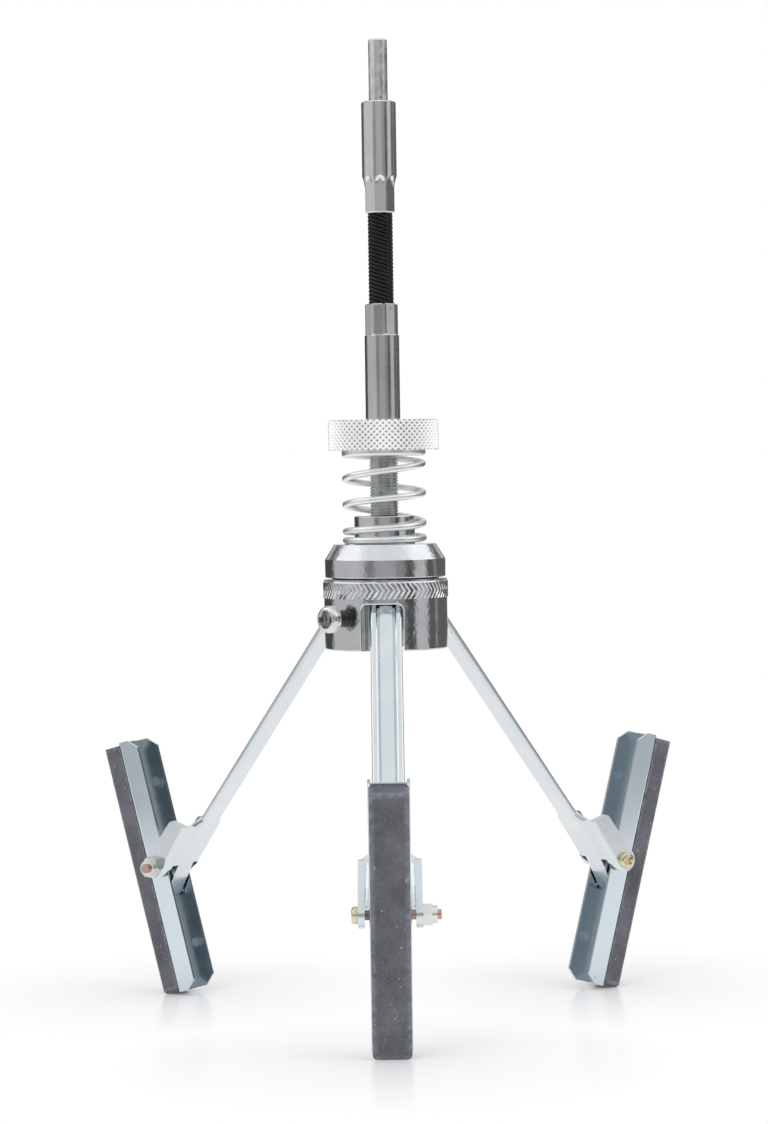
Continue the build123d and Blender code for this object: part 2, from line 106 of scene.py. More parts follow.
METALS = {
    "Satin steel": Metal("satin", (1.06, 1.06, 1.05), 60, 0.2, 0.05, 0.1, 0.5, 0.3, 900, (1, 1, 0.06)),
    "Turned steel": Metal("turned", (1.3, 1.28, 1.25), 260, 0.36, 0.1, 0.5, 0.6, 0.2, 500, (0.2, 0.2, 6)),
    "Black oxide": Metal("black", (1.8, 1.8, 1.8), 400, 0.24, 0.06, 0.05, 0, 0, metallic=0.85),
    "Grey steel": Metal("thread", (1.2, 1.2, 1.2), 300, 0.32, 0.1, 0.1, 0.2, 0),
    "Bright steel": Metal("bright", (0.93, 0.92, 0.92), 250, 0.34, 0.1, 0.2, 0.4, 0.2),
    "Chrome": Metal("chrome", (0.94, 0.94, 0.95), 110, 0.15, 0.06, 0.04, 0.25, 1, 1600),
    # The slot rims' lighter, rougher steel is a painted highlight along the slot edges
    "Rim steel": Metal("spring", (1.05, 1.03, 1), 110, 0.35, 0.06, 0.04, 0, 0, 1600, metallic=0.85),
    "Holder zinc": Metal(
        "zinc", (0.97, 1, 1.02), 90, 0.14, 0.03, 0.01, 0.3, 0.05, 1500, plain=(0.93, 0.97, 1.01)),
    "Blue zinc": Metal("zinc", (1.08, 1.05, 1.02), 70, 0.22, 0.06, 0.03, 0.5, 0.2, 1500),
    "Spring zinc": Metal("spring", (1.05, 1.03, 1), 120, 0.4, 0.05, 0.02, 0.1, 0, 1500),
    "Yellow zinc": Metal("yellow", (1.1, 1.2, 1.5), 220, 0.28, 0.08, 0.08, 0.3, 0.2),
    "Nut zinc": Metal("nut", (1.1, 1.08, 1.04), 220, 0.2, 0.06, 0.05, 0.2, 0.4),
    "Casting": Metal("casting", (1.3, 1.3, 1.3), 160, 0.45, 0.1, 0.3, 0.6, 0.3, metallic=0.8),
    "Black screw": Metal("oxide", (1.6, 1.6, 1.5), 300, 0.35, 0.1, 0.2, 0.2, 0, metallic=0.8),
    "Knurled steel": Metal("bright", (1.3, 1.3, 1.3), 250, 0.3, 0.06, 0.1, 0.1, 0, plain=(1.18, 1.19, 1.2)),
    "Worn steel": Metal(
        "satin", (0.9, 0.9, 0.9), 60, 0.2, 0.05, 0.1, 0.8, 0.3, 900, (1, 1, 0.06), plain=(0.8, 0.81, 0.83)),
}


def length(name, description, default):
    """A size in metres that the sidebar shows in the scene's own unit."""
    return bpy.props.FloatProperty(
        name=name, description=description, default=default, subtype="DISTANCE", unit="LENGTH")


def angle(name, description, default_deg):
    """An angle, given here in degrees."""
    return bpy.props.FloatProperty(
        name=name, description=description, default=radians(default_deg), subtype="ANGLE")


def number(name, description, default):
    """A count."""
    return bpy.props.IntProperty(name=name, description=description, default=default, min=1)


def share(name, description, default):
    """A plain number."""
    return bpy.props.FloatProperty(name=name, description=description, default=default)


def colour(name, description, default):
    """A colour in linear light."""
    return bpy.props.FloatVectorProperty(
        name=name, description=description, default=default, subtype="COLOR", size=3, min=0.0, max=1.0)


def low(node):
    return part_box(node)[0]


def high(node):
    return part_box(node)[1]


class HoneSizes(bpy.types.PropertyGroup):
    """Sizes of the details that the frame's solids leave out."""

    edge_round: length("Edge rounding", "Rounding of a sharp machined edge", 0.00025)
    sheet_round: length("Sheet rounding", "Rounding of the edges of arms and stones", 0.0004)
    ferrule_edge: length("Ferrule edge", "Chamfer at the ends of the ferrules", 0.0004)
    crimp_flats: number("Crimp flats", "Flats that the crimping jaws leave round a ferrule", 8)
    upper_crimp: length("Upper crimp", "Length of the crimp on the upper ferrule", 0.0141)
    upper_flat: length("Upper flat", "From the axis to a flat of the upper crimp", 0.00551)
    upper_corner: length("Upper corner", "From the axis to a corner of the upper crimp", 0.0059)
    upper_run_out: length("Upper run-out", "Length over which the upper crimp fades in", 0.0055)
    upper_crimp_turn: angle("Upper crimp turn", "How far the upper crimp is turned", 2.0)
    lower_crimp: length("Lower crimp", "Length of the crimp on the lower ferrule", 0.0121)
    lower_flat: length("Lower flat", "From the axis to a flat of the lower crimp", 0.00596)
    lower_corner: length("Lower corner", "From the axis to a corner of the lower crimp", 0.00627)
    lower_run_out: length("Lower run-out", "Length over which the lower crimp fades in", 0.0007)
    lower_crimp_turn: angle("Lower crimp turn", "How far the lower crimp is turned", -11.25)
    strand_starts: number("Strands", "Strands wound side by side on the flexible drive", 6)
    strand_d: length("Strand diameter", "Thickness of one strand", 0.00151)
    strand_seat: length("Strand seat", "How far the strands reach into each ferrule", 0.004)
    strand_lead: length("Strand lead", "Height that a strand climbs in one turn", 0.0089)
    thread_pitch: length("Thread pitch", "Pitch of the spindle's thread", 0.00127)
    thread_depth: length("Thread depth", "Depth of the spindle's thread", 0.0005)
    thread_base: share("Thread base", "Share of the pitch that a ridge covers at its root", 0.96)
    thread_crest: share("Thread crest", "Width of a ridge's crest as a share of its root", 0.16)
    thread_sink: share("Thread sink", "Width of a ridge's first section as a share of its depth", 1.2)
    spindle_neck_d: length("Spindle neck", "Diameter of the spindle inside the lower ferrule", 0.0096)
    spindle_tail_d: length("Spindle tail", "Diameter of the spindle below its shoulder", 0.008)
    shoulder_height: length("Shoulder height", "From the spider's underside to the shoulder", 0.0075)
    wire_d: length("Spring wire", "Thickness of the tension spring's wire", 0.0026)
    spring_turns: share("Spring turns", "Turns of the tension spring, closed ends included", 4.58)
    spring_start: angle("Spring start", "Where the lower end of the wire lies", 169.2)
    spring_rises: bpy.props.FloatVectorProperty(
        name="Spring rises", description="Height that the wire climbs in each half turn, from its first side",
        size=9, unit="LENGTH", default=(0.0007, 0.0026, 0.0029, 0.007, 0.0045, 0.0054, 0.0057, 0.0039, 0.0006))
    knob_cells: number("Knob cells", "Diamonds round the tension knob", 56)
    knob_rows: number("Knob rows", "Rows of half diamonds up the tension knob", 10)
    knob_knurl: length("Knob knurl", "Depth of the knob's knurl", 0.0006)
    knob_rim: length("Knob rim", "Chamfer at the knob's ends", 0.0003)
    knob_play: length("Knob play", "From the spindle's thread to the knob's bore", 0.00007)
    sleeve_edge: length("Sleeve edge", "Chamfer of the sleeve's and the slots' edges", 0.0004)
    cap_edge: length("Cap edge", "Rounding of the cap's edges", 0.0004)
    sleeve_teeth: number("Sleeve teeth", "Chevrons round the head sleeve", 74)
    sleeve_knurl: length("Sleeve knurl", "Depth of the sleeve's chevrons", 0.0003)
    knurl_height: length("Knurl height", "Height of the band of chevrons", 0.006)
    knurl_drop: length("Knurl drop", "From the sleeve's top to the chevrons", 0.0012)
    lip_chamfer: length("Lip chamfer", "Chamfer of the lip above the chevrons", 0.00072)
    groove_rise: share("Groove rise", "Share of the knurl's depth that a groove loses up to its top", 0.7)
    knurl_slope: angle("Knurl slope", "How far a chevron's point is turned from its ends", 5.2)
    lock_turn: angle("Lock screw turn", "Where the lock screw stands round the sleeve", -133.0)
    lock_d: length("Lock screw", "Diameter of the lock screw's thread", 0.006)
    lock_head: length("Lock screw head", "Height of the lock screw's head", 0.0036)
    lock_pitch: length("Lock pitch", "Pitch of the lock screw's thread", 0.001)
    arm_width: length("Arm width", "Width of an arm above its yoke", 0.0118)
    cheek_gap: length("Cheek gap", "From an arm's side to the cheek beside it", 0.0003)
    cheek_width: length("Cheek width", "Width of the cheek beside an arm", 0.0031)
    cheek_depth: length("Cheek depth", "From the cheek's face to its back", 0.0062)
    groove_depth: length("Groove depth", "Depth of the groove down the cheek", 0.00128)
    cheek_groove: length("Cheek groove", "Width of the groove down the cheek", 0.0008)
    cheek_reach: length("Cheek reach", "From the spindle axis to the cheek's face", 0.0216)
    slot_width: length("Slot width", "Width of a slot in the sleeve", 0.0162)
    slot_height: length("Slot height", "Height of a slot in the sleeve", 0.0178)
    slot_corner: length("Slot corner", "Radius of a slot's upper corners", 0.0026)
    slot_rim: length("Slot rim", "Thickness of the bead round a slot", 0.0005)
    sleeve_turn: angle("Sleeve turn", "How far the sleeve is turned against the arms", -3.8)
    arm_open: angle("Arm opening", "How far the arms swing out at rest", 36.2)
    shoulder: length("Shoulder", "From the hinge to where an arm is as wide as its yoke", 0.1152)
    taper: length("Taper", "Length of the plain taper above the shoulder", 0.01)
    shoulder_length: length("Shoulder length", "Length over which the stamped arm widens", 0.0035)
    stone_lean: angle("Stone lean", "How far the stones lean out at their tops", 15.4)
    stone_rub: length("Stone rub", "Width of the rubbed border of a stone", 0.0022)
    weld_radius: length("Weld radius", "Radius of a spot weld's mark", 0.002)
    weld_drop: length("Weld drop", "From a holder's free edge to its weld marks", 0.0043)
    weld_reach: length("Weld reach", "From a holder's middle to its weld marks", 0.033)


class HoneFinishes(bpy.types.PropertyGroup):
    """Colours of the finishes."""

    satin: colour("Satin steel", "Ferrules", (0.82, 0.83, 0.82))
    turned: colour("Turned steel", "Shank", (0.73, 0.735, 0.73))
    black: colour("Black oxide", "Flexible drive", (0.015, 0.015, 0.016))
    thread: colour("Grey steel", "Threaded spindle", (0.6, 0.62, 0.61))
    bright: colour("Bright steel", "Knob and washers", (0.8, 0.79, 0.78))
    # Painted shade: the colour that the grooves between the knob's ridges are darkened towards
    pit: colour("Painted knurl shade", "Between the knob's ridges", (0.3, 0.3, 0.3))
    chrome: colour("Chrome", "Cap and sleeve", (0.75, 0.765, 0.785))
    zinc: colour("Blue zinc", "Arms and holders", (0.7, 0.757, 0.787))
    spring: colour("Spring zinc", "Tension spring", (0.93, 0.95, 0.96))
    yellow: colour("Yellow zinc", "Pivot screws", (0.72, 0.6, 0.36))
    copper: colour("Copper", "Ends of the pivot screws", (0.55, 0.36, 0.29))
    dull: colour("Dull thread", "Threads of the pivot screws", (0.16, 0.15, 0.12))
    nut: colour("Lock nut", "Nuts on the pivots", (0.72, 0.73, 0.72))
    casting: colour("Casting", "Spider inside the head", (0.36, 0.38, 0.38))
    oxide: colour("Black screw", "Thread of the lock screw", (0.05, 0.055, 0.055))
    abrasive: colour("Abrasive", "Stones", (0.047, 0.049, 0.06))
    worn: colour("Worn abrasive", "Rubbed edges of the stones", (0.19, 0.195, 0.22))


class HoneStage(bpy.types.PropertyGroup):
    """Floor, light and camera."""

    lens: bpy.props.FloatProperty(name="Lens", description="Focal length in millimetres", default=99.26)
    distance: length("Distance", "From the camera to the spindle axis", 1.181)
    camera_height: length("Camera height", "Height of the camera above the floor", 0.2068)
    side: length("Side step", "How far the camera stands left of the spindle axis", 0.00045)
    pitch: angle("Pitch", "How far the camera looks down", 1.702)
    roll: angle("Roll", "How far the camera leans", 0.85)
    floor_radius: length("Floor radius", "Radius of the white floor", 0.6)
    floor_depth: length("Floor thickness", "Thickness of the white floor", 0.01)
    floor: colour("Floor", "The floor's own colour", (0.93, 0.93, 0.93))
    floor_roughness: share("Floor roughness", "How blurred the floor mirrors", 0.18)
    mirror_reach: length("Mirror reach", "How far from a stone's foot the floor still mirrors", 0.1)
    plain_near: share("Plain near", "Share of plain white at a stone's foot", 0.05)
    plain_far: share("Plain far", "Share of plain white away from the stones", 1.0)


def sizes():
    return bpy.context.scene.hone_sizes


def finishes():
    return bpy.context.scene.hone_finishes


def stage():
    return bpy.context.scene.hone_stage


# Hand tools

def deselect():
    bpy.ops.object.select_all(action="DESELECT")


def take(piece):
    """Makes piece the one selected and active object."""
    deselect()
    piece.select_set(True)
    bpy.context.view_layer.objects.active = piece


def edit():
    bpy.ops.object.mode_set(mode="EDIT")


def leave():
    bpy.ops.object.mode_set(mode="OBJECT")


def named(name):
    """Names the piece just added and its mesh."""
    piece = bpy.context.object
    piece.name = name
    piece.data.name = name
    return piece


def settle(piece):
    """Moves the piece's place into its mesh."""
    take(piece)
    bpy.ops.object.transform_apply(location=True, rotation=True, scale=True)
    return piece


def apply_modifier(piece, kind, **values):
    """Adds a modifier, sets it and applies it."""
    take(piece)
    modifier = piece.modifiers.new(kind.title(), kind)
    for key, value in values.items():
        setattr(modifier, key, value)
    bpy.ops.object.modifier_apply(modifier=modifier.name)
    return piece


def smooth(piece, limit_deg=32.0):
    take(piece)
    bpy.ops.object.shade_smooth_by_angle(angle=radians(limit_deg))
    return piece


def flat_faced(piece, limit_deg):
    """Smooth shading in which the large faces keep their own normals beside their rounded edges."""
    smooth(piece, limit_deg)
    return apply_modifier(piece, "WEIGHTED_NORMAL", mode="FACE_AREA", weight=100, keep_sharp=True)


def outward(piece):
    """Merges doubles and turns all faces outwards."""
    take(piece)
    edit()
    bpy.ops.mesh.select_all(action="SELECT")
    bpy.ops.mesh.remove_doubles(threshold=1e-6)
    bpy.ops.mesh.normals_make_consistent(inside=False)
    leave()
    return piece


def join(name, pieces):
    """One object from several."""
    deselect()
    for piece in pieces:
        piece.select_set(True)
    bpy.context.view_layer.objects.active = pieces[0]
    bpy.ops.object.join()
    return named(name)


def eased(value):
    """0 to 1 with soft ends, held outside."""
    value = min(1.0, max(0.0, value))
    return value * value * (3 - 2 * value)


def from_axis(point):
    """A point's distance from the spindle axis."""
    return hypot(point.x, point.y)


def ring_stack(name, profile, steps, closed=False):
    """A turned piece: a ring is extruded up through the (radius, height) points of profile."""
    radius, z = profile[0]
    deselect()
    bpy.ops.mesh.primitive_circle_add(
        vertices=steps, radius=radius, fill_type="NOTHING" if closed else "NGON", location=(0, 0, z))
    piece = settle(named(name))
    edit()
    bpy.ops.mesh.select_all(action="SELECT")
    for next_radius, next_z in profile[1:]:
        bpy.ops.mesh.extrude_region_move(TRANSFORM_OT_translate={"value": (0, 0, next_z - z)})
        factor = next_radius / radius
        bpy.ops.transform.resize(value=(factor, factor, 1), center_override=(0, 0, next_z))
        radius, z = next_radius, next_z
    leave()
    return outward(piece)


def dressed(piece, material, slot, body, *nodes):
    """Gives a piece its material and body, and hides the nodes that it stands for. The slot argument is not
    used.
    """
    piece.data.materials.clear()
    piece.data.materials.append(material)
    if body:
        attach(piece, body)
    if nodes:
        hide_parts(*nodes)


def finished_copy(node, name, rounding, segments=2, shaped=None):
    """A copy of a frame node with its facets merged, its form refined by shaped and its edges rounded."""
    source = frame["nodes"][node]
    piece = bpy.data.objects.new(name, source.data.copy())
    bpy.context.scene.collection.objects.link(piece)
    take(piece)
    edit()
    bpy.ops.mesh.select_all(action="SELECT")
    bpy.ops.mesh.remove_doubles(threshold=1e-6)
    bpy.ops.mesh.dissolve_limited(angle_limit=radians(0.5))
    leave()
    if shaped:
        shaped(piece)
    apply_modifier(
        piece, "BEVEL", width=rounding, segments=segments, limit_method="ANGLE",
        angle_limit=radians(24), use_clamp_overlap=True, harden_normals=False)
    return flat_faced(piece, 24 * segments)


def turned_copy(piece, name, turn_deg):
    """A copy with its own mesh, turned about the spindle axis."""
    mesh = piece.data.copy()
    mesh.transform(Matrix.Rotation(radians(turn_deg), 4, "Z"))
    copy = bpy.data.objects.new(name, mesh)
    bpy.context.scene.collection.objects.link(copy)
    return copy


# Finishes

def group_of(name, inputs):
    """An empty shader node group, whose inputs take their kind from their default."""
    tree = bpy.data.node_groups.new(name, "ShaderNodeTree")
    for label, default in inputs.items():
        kind = {3: "Vector", 4: "Color"}[len(default)] if isinstance(default, tuple) else "Float"
        socket = tree.interface.new_socket(name=label, in_out="INPUT", socket_type=f"NodeSocket{kind}")
        socket.default_value = default
    for label, kind in (("Colour", "Color"), ("Roughness", "Float"), ("Normal", "Vector")):
        tree.interface.new_socket(name=label, in_out="OUTPUT", socket_type=f"NodeSocket{kind}")
    return tree, tree.nodes.new("NodeGroupInput").outputs, tree.nodes.new("NodeGroupOutput").inputs


def grey(level):
    return (level, level, level, 1)


def noise(tree, vector, scale, detail=3.0, rough=0.5):
    """A noise texture; scale is a number or an output socket."""
    node = tree.nodes.new("ShaderNodeTexNoise")
    node.inputs["Detail"].default_value = detail
    node.inputs["Roughness"].default_value = rough
    tree.links.new(vector, node.inputs["Vector"])
    if isinstance(scale, (int, float)):
        node.inputs["Scale"].default_value = scale
    else:
        tree.links.new(scale, node.inputs["Scale"])
    return node.outputs["Fac"]


def ranged(tree, value, low_in, high_in, low_out=0.0, high_out=1.0):
    """Maps a value from one range to another, held at its ends."""
    node = tree.nodes.new("ShaderNodeMapRange")
    node.inputs["From Min"].default_value = low_in
    node.inputs["From Max"].default_value = high_in
    node.inputs["To Min"].default_value = low_out
    node.inputs["To Max"].default_value = high_out
    tree.links.new(value, node.inputs["Value"])
    return node.outputs["Result"]


def plug(tree, value, socket):
    """Links an output to a socket, or sets the socket to a plain value."""
    if isinstance(value, bpy.types.NodeSocket):
        tree.links.new(value, socket)
    else:
        socket.default_value = value


def maths(tree, operation, first, second=0.0):
    node = tree.nodes.new("ShaderNodeMath")
    node.operation = operation
    plug(tree, first, node.inputs[0])
    plug(tree, second, node.inputs[1])
    return node.outputs[0]


def mixed(tree, factor, first, second):
    """A mix of two colours."""
    node = tree.nodes.new("ShaderNodeMix")
    node.data_type = "RGBA"
    plug(tree, factor, node.inputs["Factor"])
    for value, label in ((first, "A"), (second, "B")):
        socket = next(s for s in node.inputs if s.name == label and s.type == "RGBA")
        plug(tree, value, socket)
    return next(s for s in node.outputs if s.type == "RGBA")


def bumped(tree, height, strength, distance, normal=None):
    node = tree.nodes.new("ShaderNodeBump")
    if normal:
        tree.links.new(normal, node.inputs["Normal"])
    plug(tree, height, node.inputs["Height"])
    plug(tree, strength, node.inputs["Strength"])
    node.inputs["Distance"].default_value = distance
    return node.outputs["Normal"]


def plating_group():
    """Mottled plated metal with a fine grain and a few small pits."""
    tree, given, out = group_of("Plating", {
        "Colour": grey(0.7), "Tint": grey(0.7), "Cloud Scale": 90.0, "Grain Scale": 2400.0,
        "Grain Stretch": (1, 1, 1), "Roughness": 0.3, "Spread": 0.12, "Bump": 0.15, "Pits": 0.4,
        "Ripple": 0.0,
    })
    place = tree.nodes.new("ShaderNodeTexCoord").outputs["Object"]
    stretch = tree.nodes.new("ShaderNodeVectorMath")
    stretch.operation = "MULTIPLY"
    tree.links.new(place, stretch.inputs[0])
    tree.links.new(given["Grain Stretch"], stretch.inputs[1])
    cloud = noise(tree, place, given["Cloud Scale"], 4.0, 0.6)
    grain = noise(tree, stretch.outputs[0], given["Grain Scale"], 3.0, 0.6)
    cells = tree.nodes.new("ShaderNodeTexVoronoi")
    cells.inputs["Scale"].default_value = 260.0
    tree.links.new(place, cells.inputs["Vector"])
    rare = ranged(tree, noise(tree, place, 140.0, 1.0), 0.6, 0.66)
    pit = maths(tree, "MULTIPLY", ranged(tree, cells.outputs["Distance"], 0.1, 0.2, 1.0, 0.0), rare)
    pit = maths(tree, "MULTIPLY", pit, given["Pits"])
    tone = mixed(tree, ranged(tree, cloud, 0.38, 0.62), given["Colour"], given["Tint"])
    shade = mixed(tree, ranged(tree, grain, 0.3, 0.7, 0.0, 0.07), tone, (0.2, 0.21, 0.22, 1))
    dark = mixed(tree, pit, shade, (0.16, 0.17, 0.17, 1))
    tree.links.new(dark, out["Colour"])
    drift = maths(tree, "MULTIPLY", ranged(tree, cloud, 0.3, 0.7, -1.0, 1.0), given["Spread"])
    rough = maths(tree, "ADD", given["Roughness"], drift)
    tree.links.new(maths(tree, "MAXIMUM", rough, 0.03), out["Roughness"])
    wave = bumped(tree, noise(tree, place, 420.0, 2.0, 0.5), given["Ripple"], 0.00012)
    height = maths(tree, "SUBTRACT", grain, pit)
    tree.links.new(bumped(tree, height, given["Bump"], 0.00008, wave), out["Normal"])
    return tree


def grit_group():
    """Bonded grit: fine dark and light grains, with a few white ones."""
    tree, given, out = group_of(
        "Grit", {"Colour": grey(0.1), "Worn": grey(0.2), "Wear": 0.0, "Grain Scale": 2200.0})
    place = tree.nodes.new("ShaderNodeTexCoord").outputs["Object"]
    grain = noise(tree, place, given["Grain Scale"], 2.0, 0.7)
    cloud = noise(tree, place, 70.0, 4.0, 0.65)
    streak = noise(tree, place, 380.0, 2.0, 0.6)
    cells = tree.nodes.new("ShaderNodeTexVoronoi")
    cells.inputs["Scale"].default_value = 800.0
    tree.links.new(place, cells.inputs["Vector"])
    rare = ranged(tree, noise(tree, place, 300.0, 1.0), 0.6, 0.66)
    speck = maths(tree, "MULTIPLY", ranged(tree, cells.outputs["Distance"], 0.12, 0.24, 1.0, 0.0), rare)
    rub = maths(tree, "MULTIPLY", given["Wear"], ranged(tree, streak, 0.3, 0.62))
    base = mixed(tree, ranged(tree, cloud, 0.35, 0.65, 0.0, 0.4), given["Colour"], given["Worn"])
    worn = mixed(tree, rub, base, given["Worn"])
    grained = mixed(tree, ranged(tree, grain, 0.35, 0.75, 0.0, 0.35), worn, (0.3, 0.31, 0.33, 1))
    speckled = mixed(tree, maths(tree, "MULTIPLY", speck, 0.55), grained, (0.75, 0.76, 0.78, 1))
    tree.links.new(speckled, out["Colour"])
    tree.links.new(ranged(tree, grain, 0.3, 0.7, 0.62, 0.9), out["Roughness"])
    tree.links.new(bumped(tree, grain, 0.7, 0.00018), out["Normal"])
    return tree


def material_with(name, tree, metallic, **values):
    """A material whose surface comes from a shared group, with its own values."""
    material = bpy.data.materials.new(name)
    material.use_nodes = True
    nodes = material.node_tree
    shader = nodes.nodes["Principled BSDF"]
    group = nodes.nodes.new("ShaderNodeGroup")
    group.node_tree = tree
    for key, value in values.items():
        label = key.replace("_", " ").title()
        if hasattr(value, "__len__") and group.inputs[label].type == "RGBA":
            value = (*value, 1.0)
        group.inputs[label].default_value = value
    shader.inputs["Metallic"].default_value = metallic
    nodes.links.new(group.outputs["Colour"], shader.inputs["Base Color"])
    nodes.links.new(group.outputs["Roughness"], shader.inputs["Roughness"])
    nodes.links.new(group.outputs["Normal"], shader.inputs["Normal"])
    return material


def darkened(material, attribute, tone, sharpness=1.0):
    """Lets an attribute of the mesh turn a material's colour towards tone."""
    tree = material.node_tree
    shader = tree.nodes["Principled BSDF"]
    plain = shader.inputs["Base Color"].links[0].from_socket
    mask = tree.nodes.new("ShaderNodeAttribute")
    mask.attribute_name = attribute
    deep = maths(tree, "POWER", mask.outputs["Fac"], sharpness)
    tree.links.new(mixed(tree, deep, plain, (*tone, 1)), shader.inputs["Base Color"])


def welded(material):
    """Dulls the round marks of the spot welds, whose distance the mesh carries as an attribute."""
    tree = material.node_tree
    shader = tree.nodes["Principled BSDF"]
    place = tree.nodes.new("ShaderNodeAttribute")
    place.attribute_name = "weld_place"
    away = tree.nodes.new("ShaderNodeVectorMath")
    away.operation = "LENGTH"
    tree.links.new(place.outputs["Vector"], away.inputs[0])
    mark = ranged(tree, away.outputs["Value"], 0.6, 1.15, 0.3, 0.0)
    rough = shader.inputs["Roughness"].links[0].from_socket
    tree.links.new(maths(tree, "ADD", rough, mark), shader.inputs["Roughness"])


def tinted(tone, scales):
    """A colour with each channel scaled."""
    return tuple(min(1.0, c * k) for c, k in zip(tone, scales))


class HONE_OT_finishes(bpy.types.Operator):
    """Builds the shared node groups and every material"""

    bl_idname = "hone.finishes"
    bl_label = "Finishes"

    def execute(self, context):
        tone = finishes()
        plating = plating_group()
        for name, metal in METALS.items():
            values = metal._asdict()
            own = getattr(tone, values.pop("tone"))
            plain = tinted(own, values.pop("plain"))
            clouds = tinted(own, values.pop("clouds"))
            material_with(name, plating, values.pop("metallic"), colour=plain, tint=clouds, **values)
        welded(finish("Holder zinc"))
        darkened(finish("Yellow zinc"), "thread", tone.dull)
        darkened(finish("Yellow zinc"), "thread_end", tone.copper)
        darkened(finish("Nut zinc"), "thread", tone.oxide)
        # The knob's pit mask darkens its grooves: painted shade between the ridges
        darkened(finish("Knurled steel"), "pit", tone.pit, 2.0)
        stone = material_with("Abrasive", grit_group(), 0.0, colour=tone.abrasive, worn=tone.worn)
        wear = stone.node_tree.nodes.new("ShaderNodeAttribute")
        wear.attribute_name = "wear"
        group = next(n for n in stone.node_tree.nodes if n.type == "GROUP")
        stone.node_tree.links.new(wear.outputs["Fac"], group.inputs["Wear"])
        return {"FINISHED"}


def finish(name):
    return bpy.data.materials[name]


# Pieces

def crimped(name, node, crimp, flat, corner, run_out, turn, crimp_below):
    """A ferrule with one end squeezed to flats; crimp is how much of its length is squeezed."""
    size = sizes()
    bottom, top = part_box(node)
    edge = size.ferrule_edge
    inner = top.x - edge
    rings = 40
    heights = [bottom.z + edge + (top.z - bottom.z - 2 * edge) * k / rings for k in range(rings + 1)]
    border = bottom.z + crimp if crimp_below else top.z - crimp
    heights += [border + run_out * k / 8 * (-1 if crimp_below else 1) for k in range(9)]
    profile = [(inner, bottom.z)] + [(top.x, z) for z in sorted(heights)] + [(inner, top.z)]
    piece = ring_stack(name, profile, 16 * size.crimp_flats)
    flat_turn = FULL_TURN / size.crimp_flats
    for vertex in piece.data.vertices:
        depth = border - vertex.co.z if crimp_below else vertex.co.z - border
        at = atan2(vertex.co.y, vertex.co.x) + pi / 2 - turn
        beside = at - round(at / flat_turn) * flat_turn
        reach = from_axis(vertex.co)
        squeezed = min(reach, corner, flat / cos(beside))
        if reach < top.x - edge / 2:
            squeezed = min(reach, squeezed - edge)
        fade = run_out * (0.2 + 1.6 * abs(beside) / flat_turn)
        grown = reach + (squeezed - reach) * eased(depth / fade)
        vertex.co.x *= grown / reach
        vertex.co.y *= grown / reach
    return smooth(piece, 9)


class HONE_OT_drive(bpy.types.Operator):
    """Dresses the shank and crimps the two ferrules"""

    bl_idname = "hone.drive"
    bl_label = "Shank and ferrules"

    def execute(self, context):
        size = sizes()
        shank = finished_copy("drive_shank", "drive_shank_finish", size.edge_round)
        dressed(shank, finish("Turned steel"), "satin_steel", "drive", "drive_shank")
        upper = crimped(
            "upper_ferrule_crimped", "upper_ferrule", size.upper_crimp, size.upper_flat, size.upper_corner,
            size.upper_run_out, size.upper_crimp_turn, crimp_below=True)
        dressed(upper, finish("Satin steel"), "satin_steel", "drive", "upper_ferrule")
        lower = crimped(
            "lower_ferrule_crimped", "lower_ferrule", size.lower_crimp, size.lower_flat, size.lower_corner,
            size.lower_run_out, size.lower_crimp_turn, crimp_below=False)
        dressed(lower, finish("Worn steel"), "satin_steel", "head", "lower_ferrule")
        return {"FINISHED"}


def strand(name, z_low, z_high, radius, start):
    """One strand of the flexible drive, wound left-handed from z_low to z_high."""
    size = sizes()
    deselect()
    bpy.ops.mesh.primitive_circle_add(
        vertices=12, radius=size.strand_d / 2, location=(radius, 0, z_low), rotation=(pi / 2, 0, 0))
    piece = settle(named(name))
    turns = (z_high - z_low) / size.strand_lead
    apply_modifier(
        piece, "SCREW", angle=-FULL_TURN * turns, screw_offset=z_high - z_low, steps=int(30 * turns),
        render_steps=int(30 * turns), use_merge_vertices=False, use_normal_calculate=False)
    piece.data.transform(Matrix.Rotation(start, 4, "Z"))
    return outward(piece)


class HONE_OT_flex(bpy.types.Operator):
    """Winds the flexible drive's strands in two halves, one for each bend"""

    bl_idname = "hone.flex"
    bl_label = "Flexible drive"

    def execute(self, context):
        size = sizes()
        joints = {j["name"]: j for j in frame["joints"]}
        bend_low = Vector(joints["flex_bend_low"]["pos_m"])
        bend_high = Vector(joints["flex_bend_high"]["pos_m"])
        z_mid = (bend_low.z + bend_high.z) / 2
        z_first = high("lower_ferrule").z - size.strand_seat
        z_last = low("upper_ferrule").z + size.strand_seat
        radius = high("flex_coil").x - size.strand_d / 2
        halves = (
            ("lower", z_first, z_mid, "head", "flex", bend_low),
            ("upper", z_mid, z_last, "flex", "drive", bend_high),
        )
        for half, z_low, z_high, near, far, bend in halves:
            strands = []
            for i in range(size.strand_starts):
                start = FULL_TURN * (i / size.strand_starts - (z_low - z_first) / size.strand_lead)
                strands.append(strand(f"strand_{i}", z_low, z_high, radius, start))
            piece = smooth(join(f"flex_strands_{half}", strands), 180)
            rings = [(radius, z_low + (z_high - z_low) * k / 12) for k in range(13)]
            core = smooth(ring_stack(f"flex_core_{half}", rings, 24))
            for part in (piece, core):
                dressed(part, finish("Black oxide"), "black_steel", None)
                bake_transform(part)
            if half == "lower":
                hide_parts("flex_coil")
                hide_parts("flex_core")
        return {"FINISHED"}


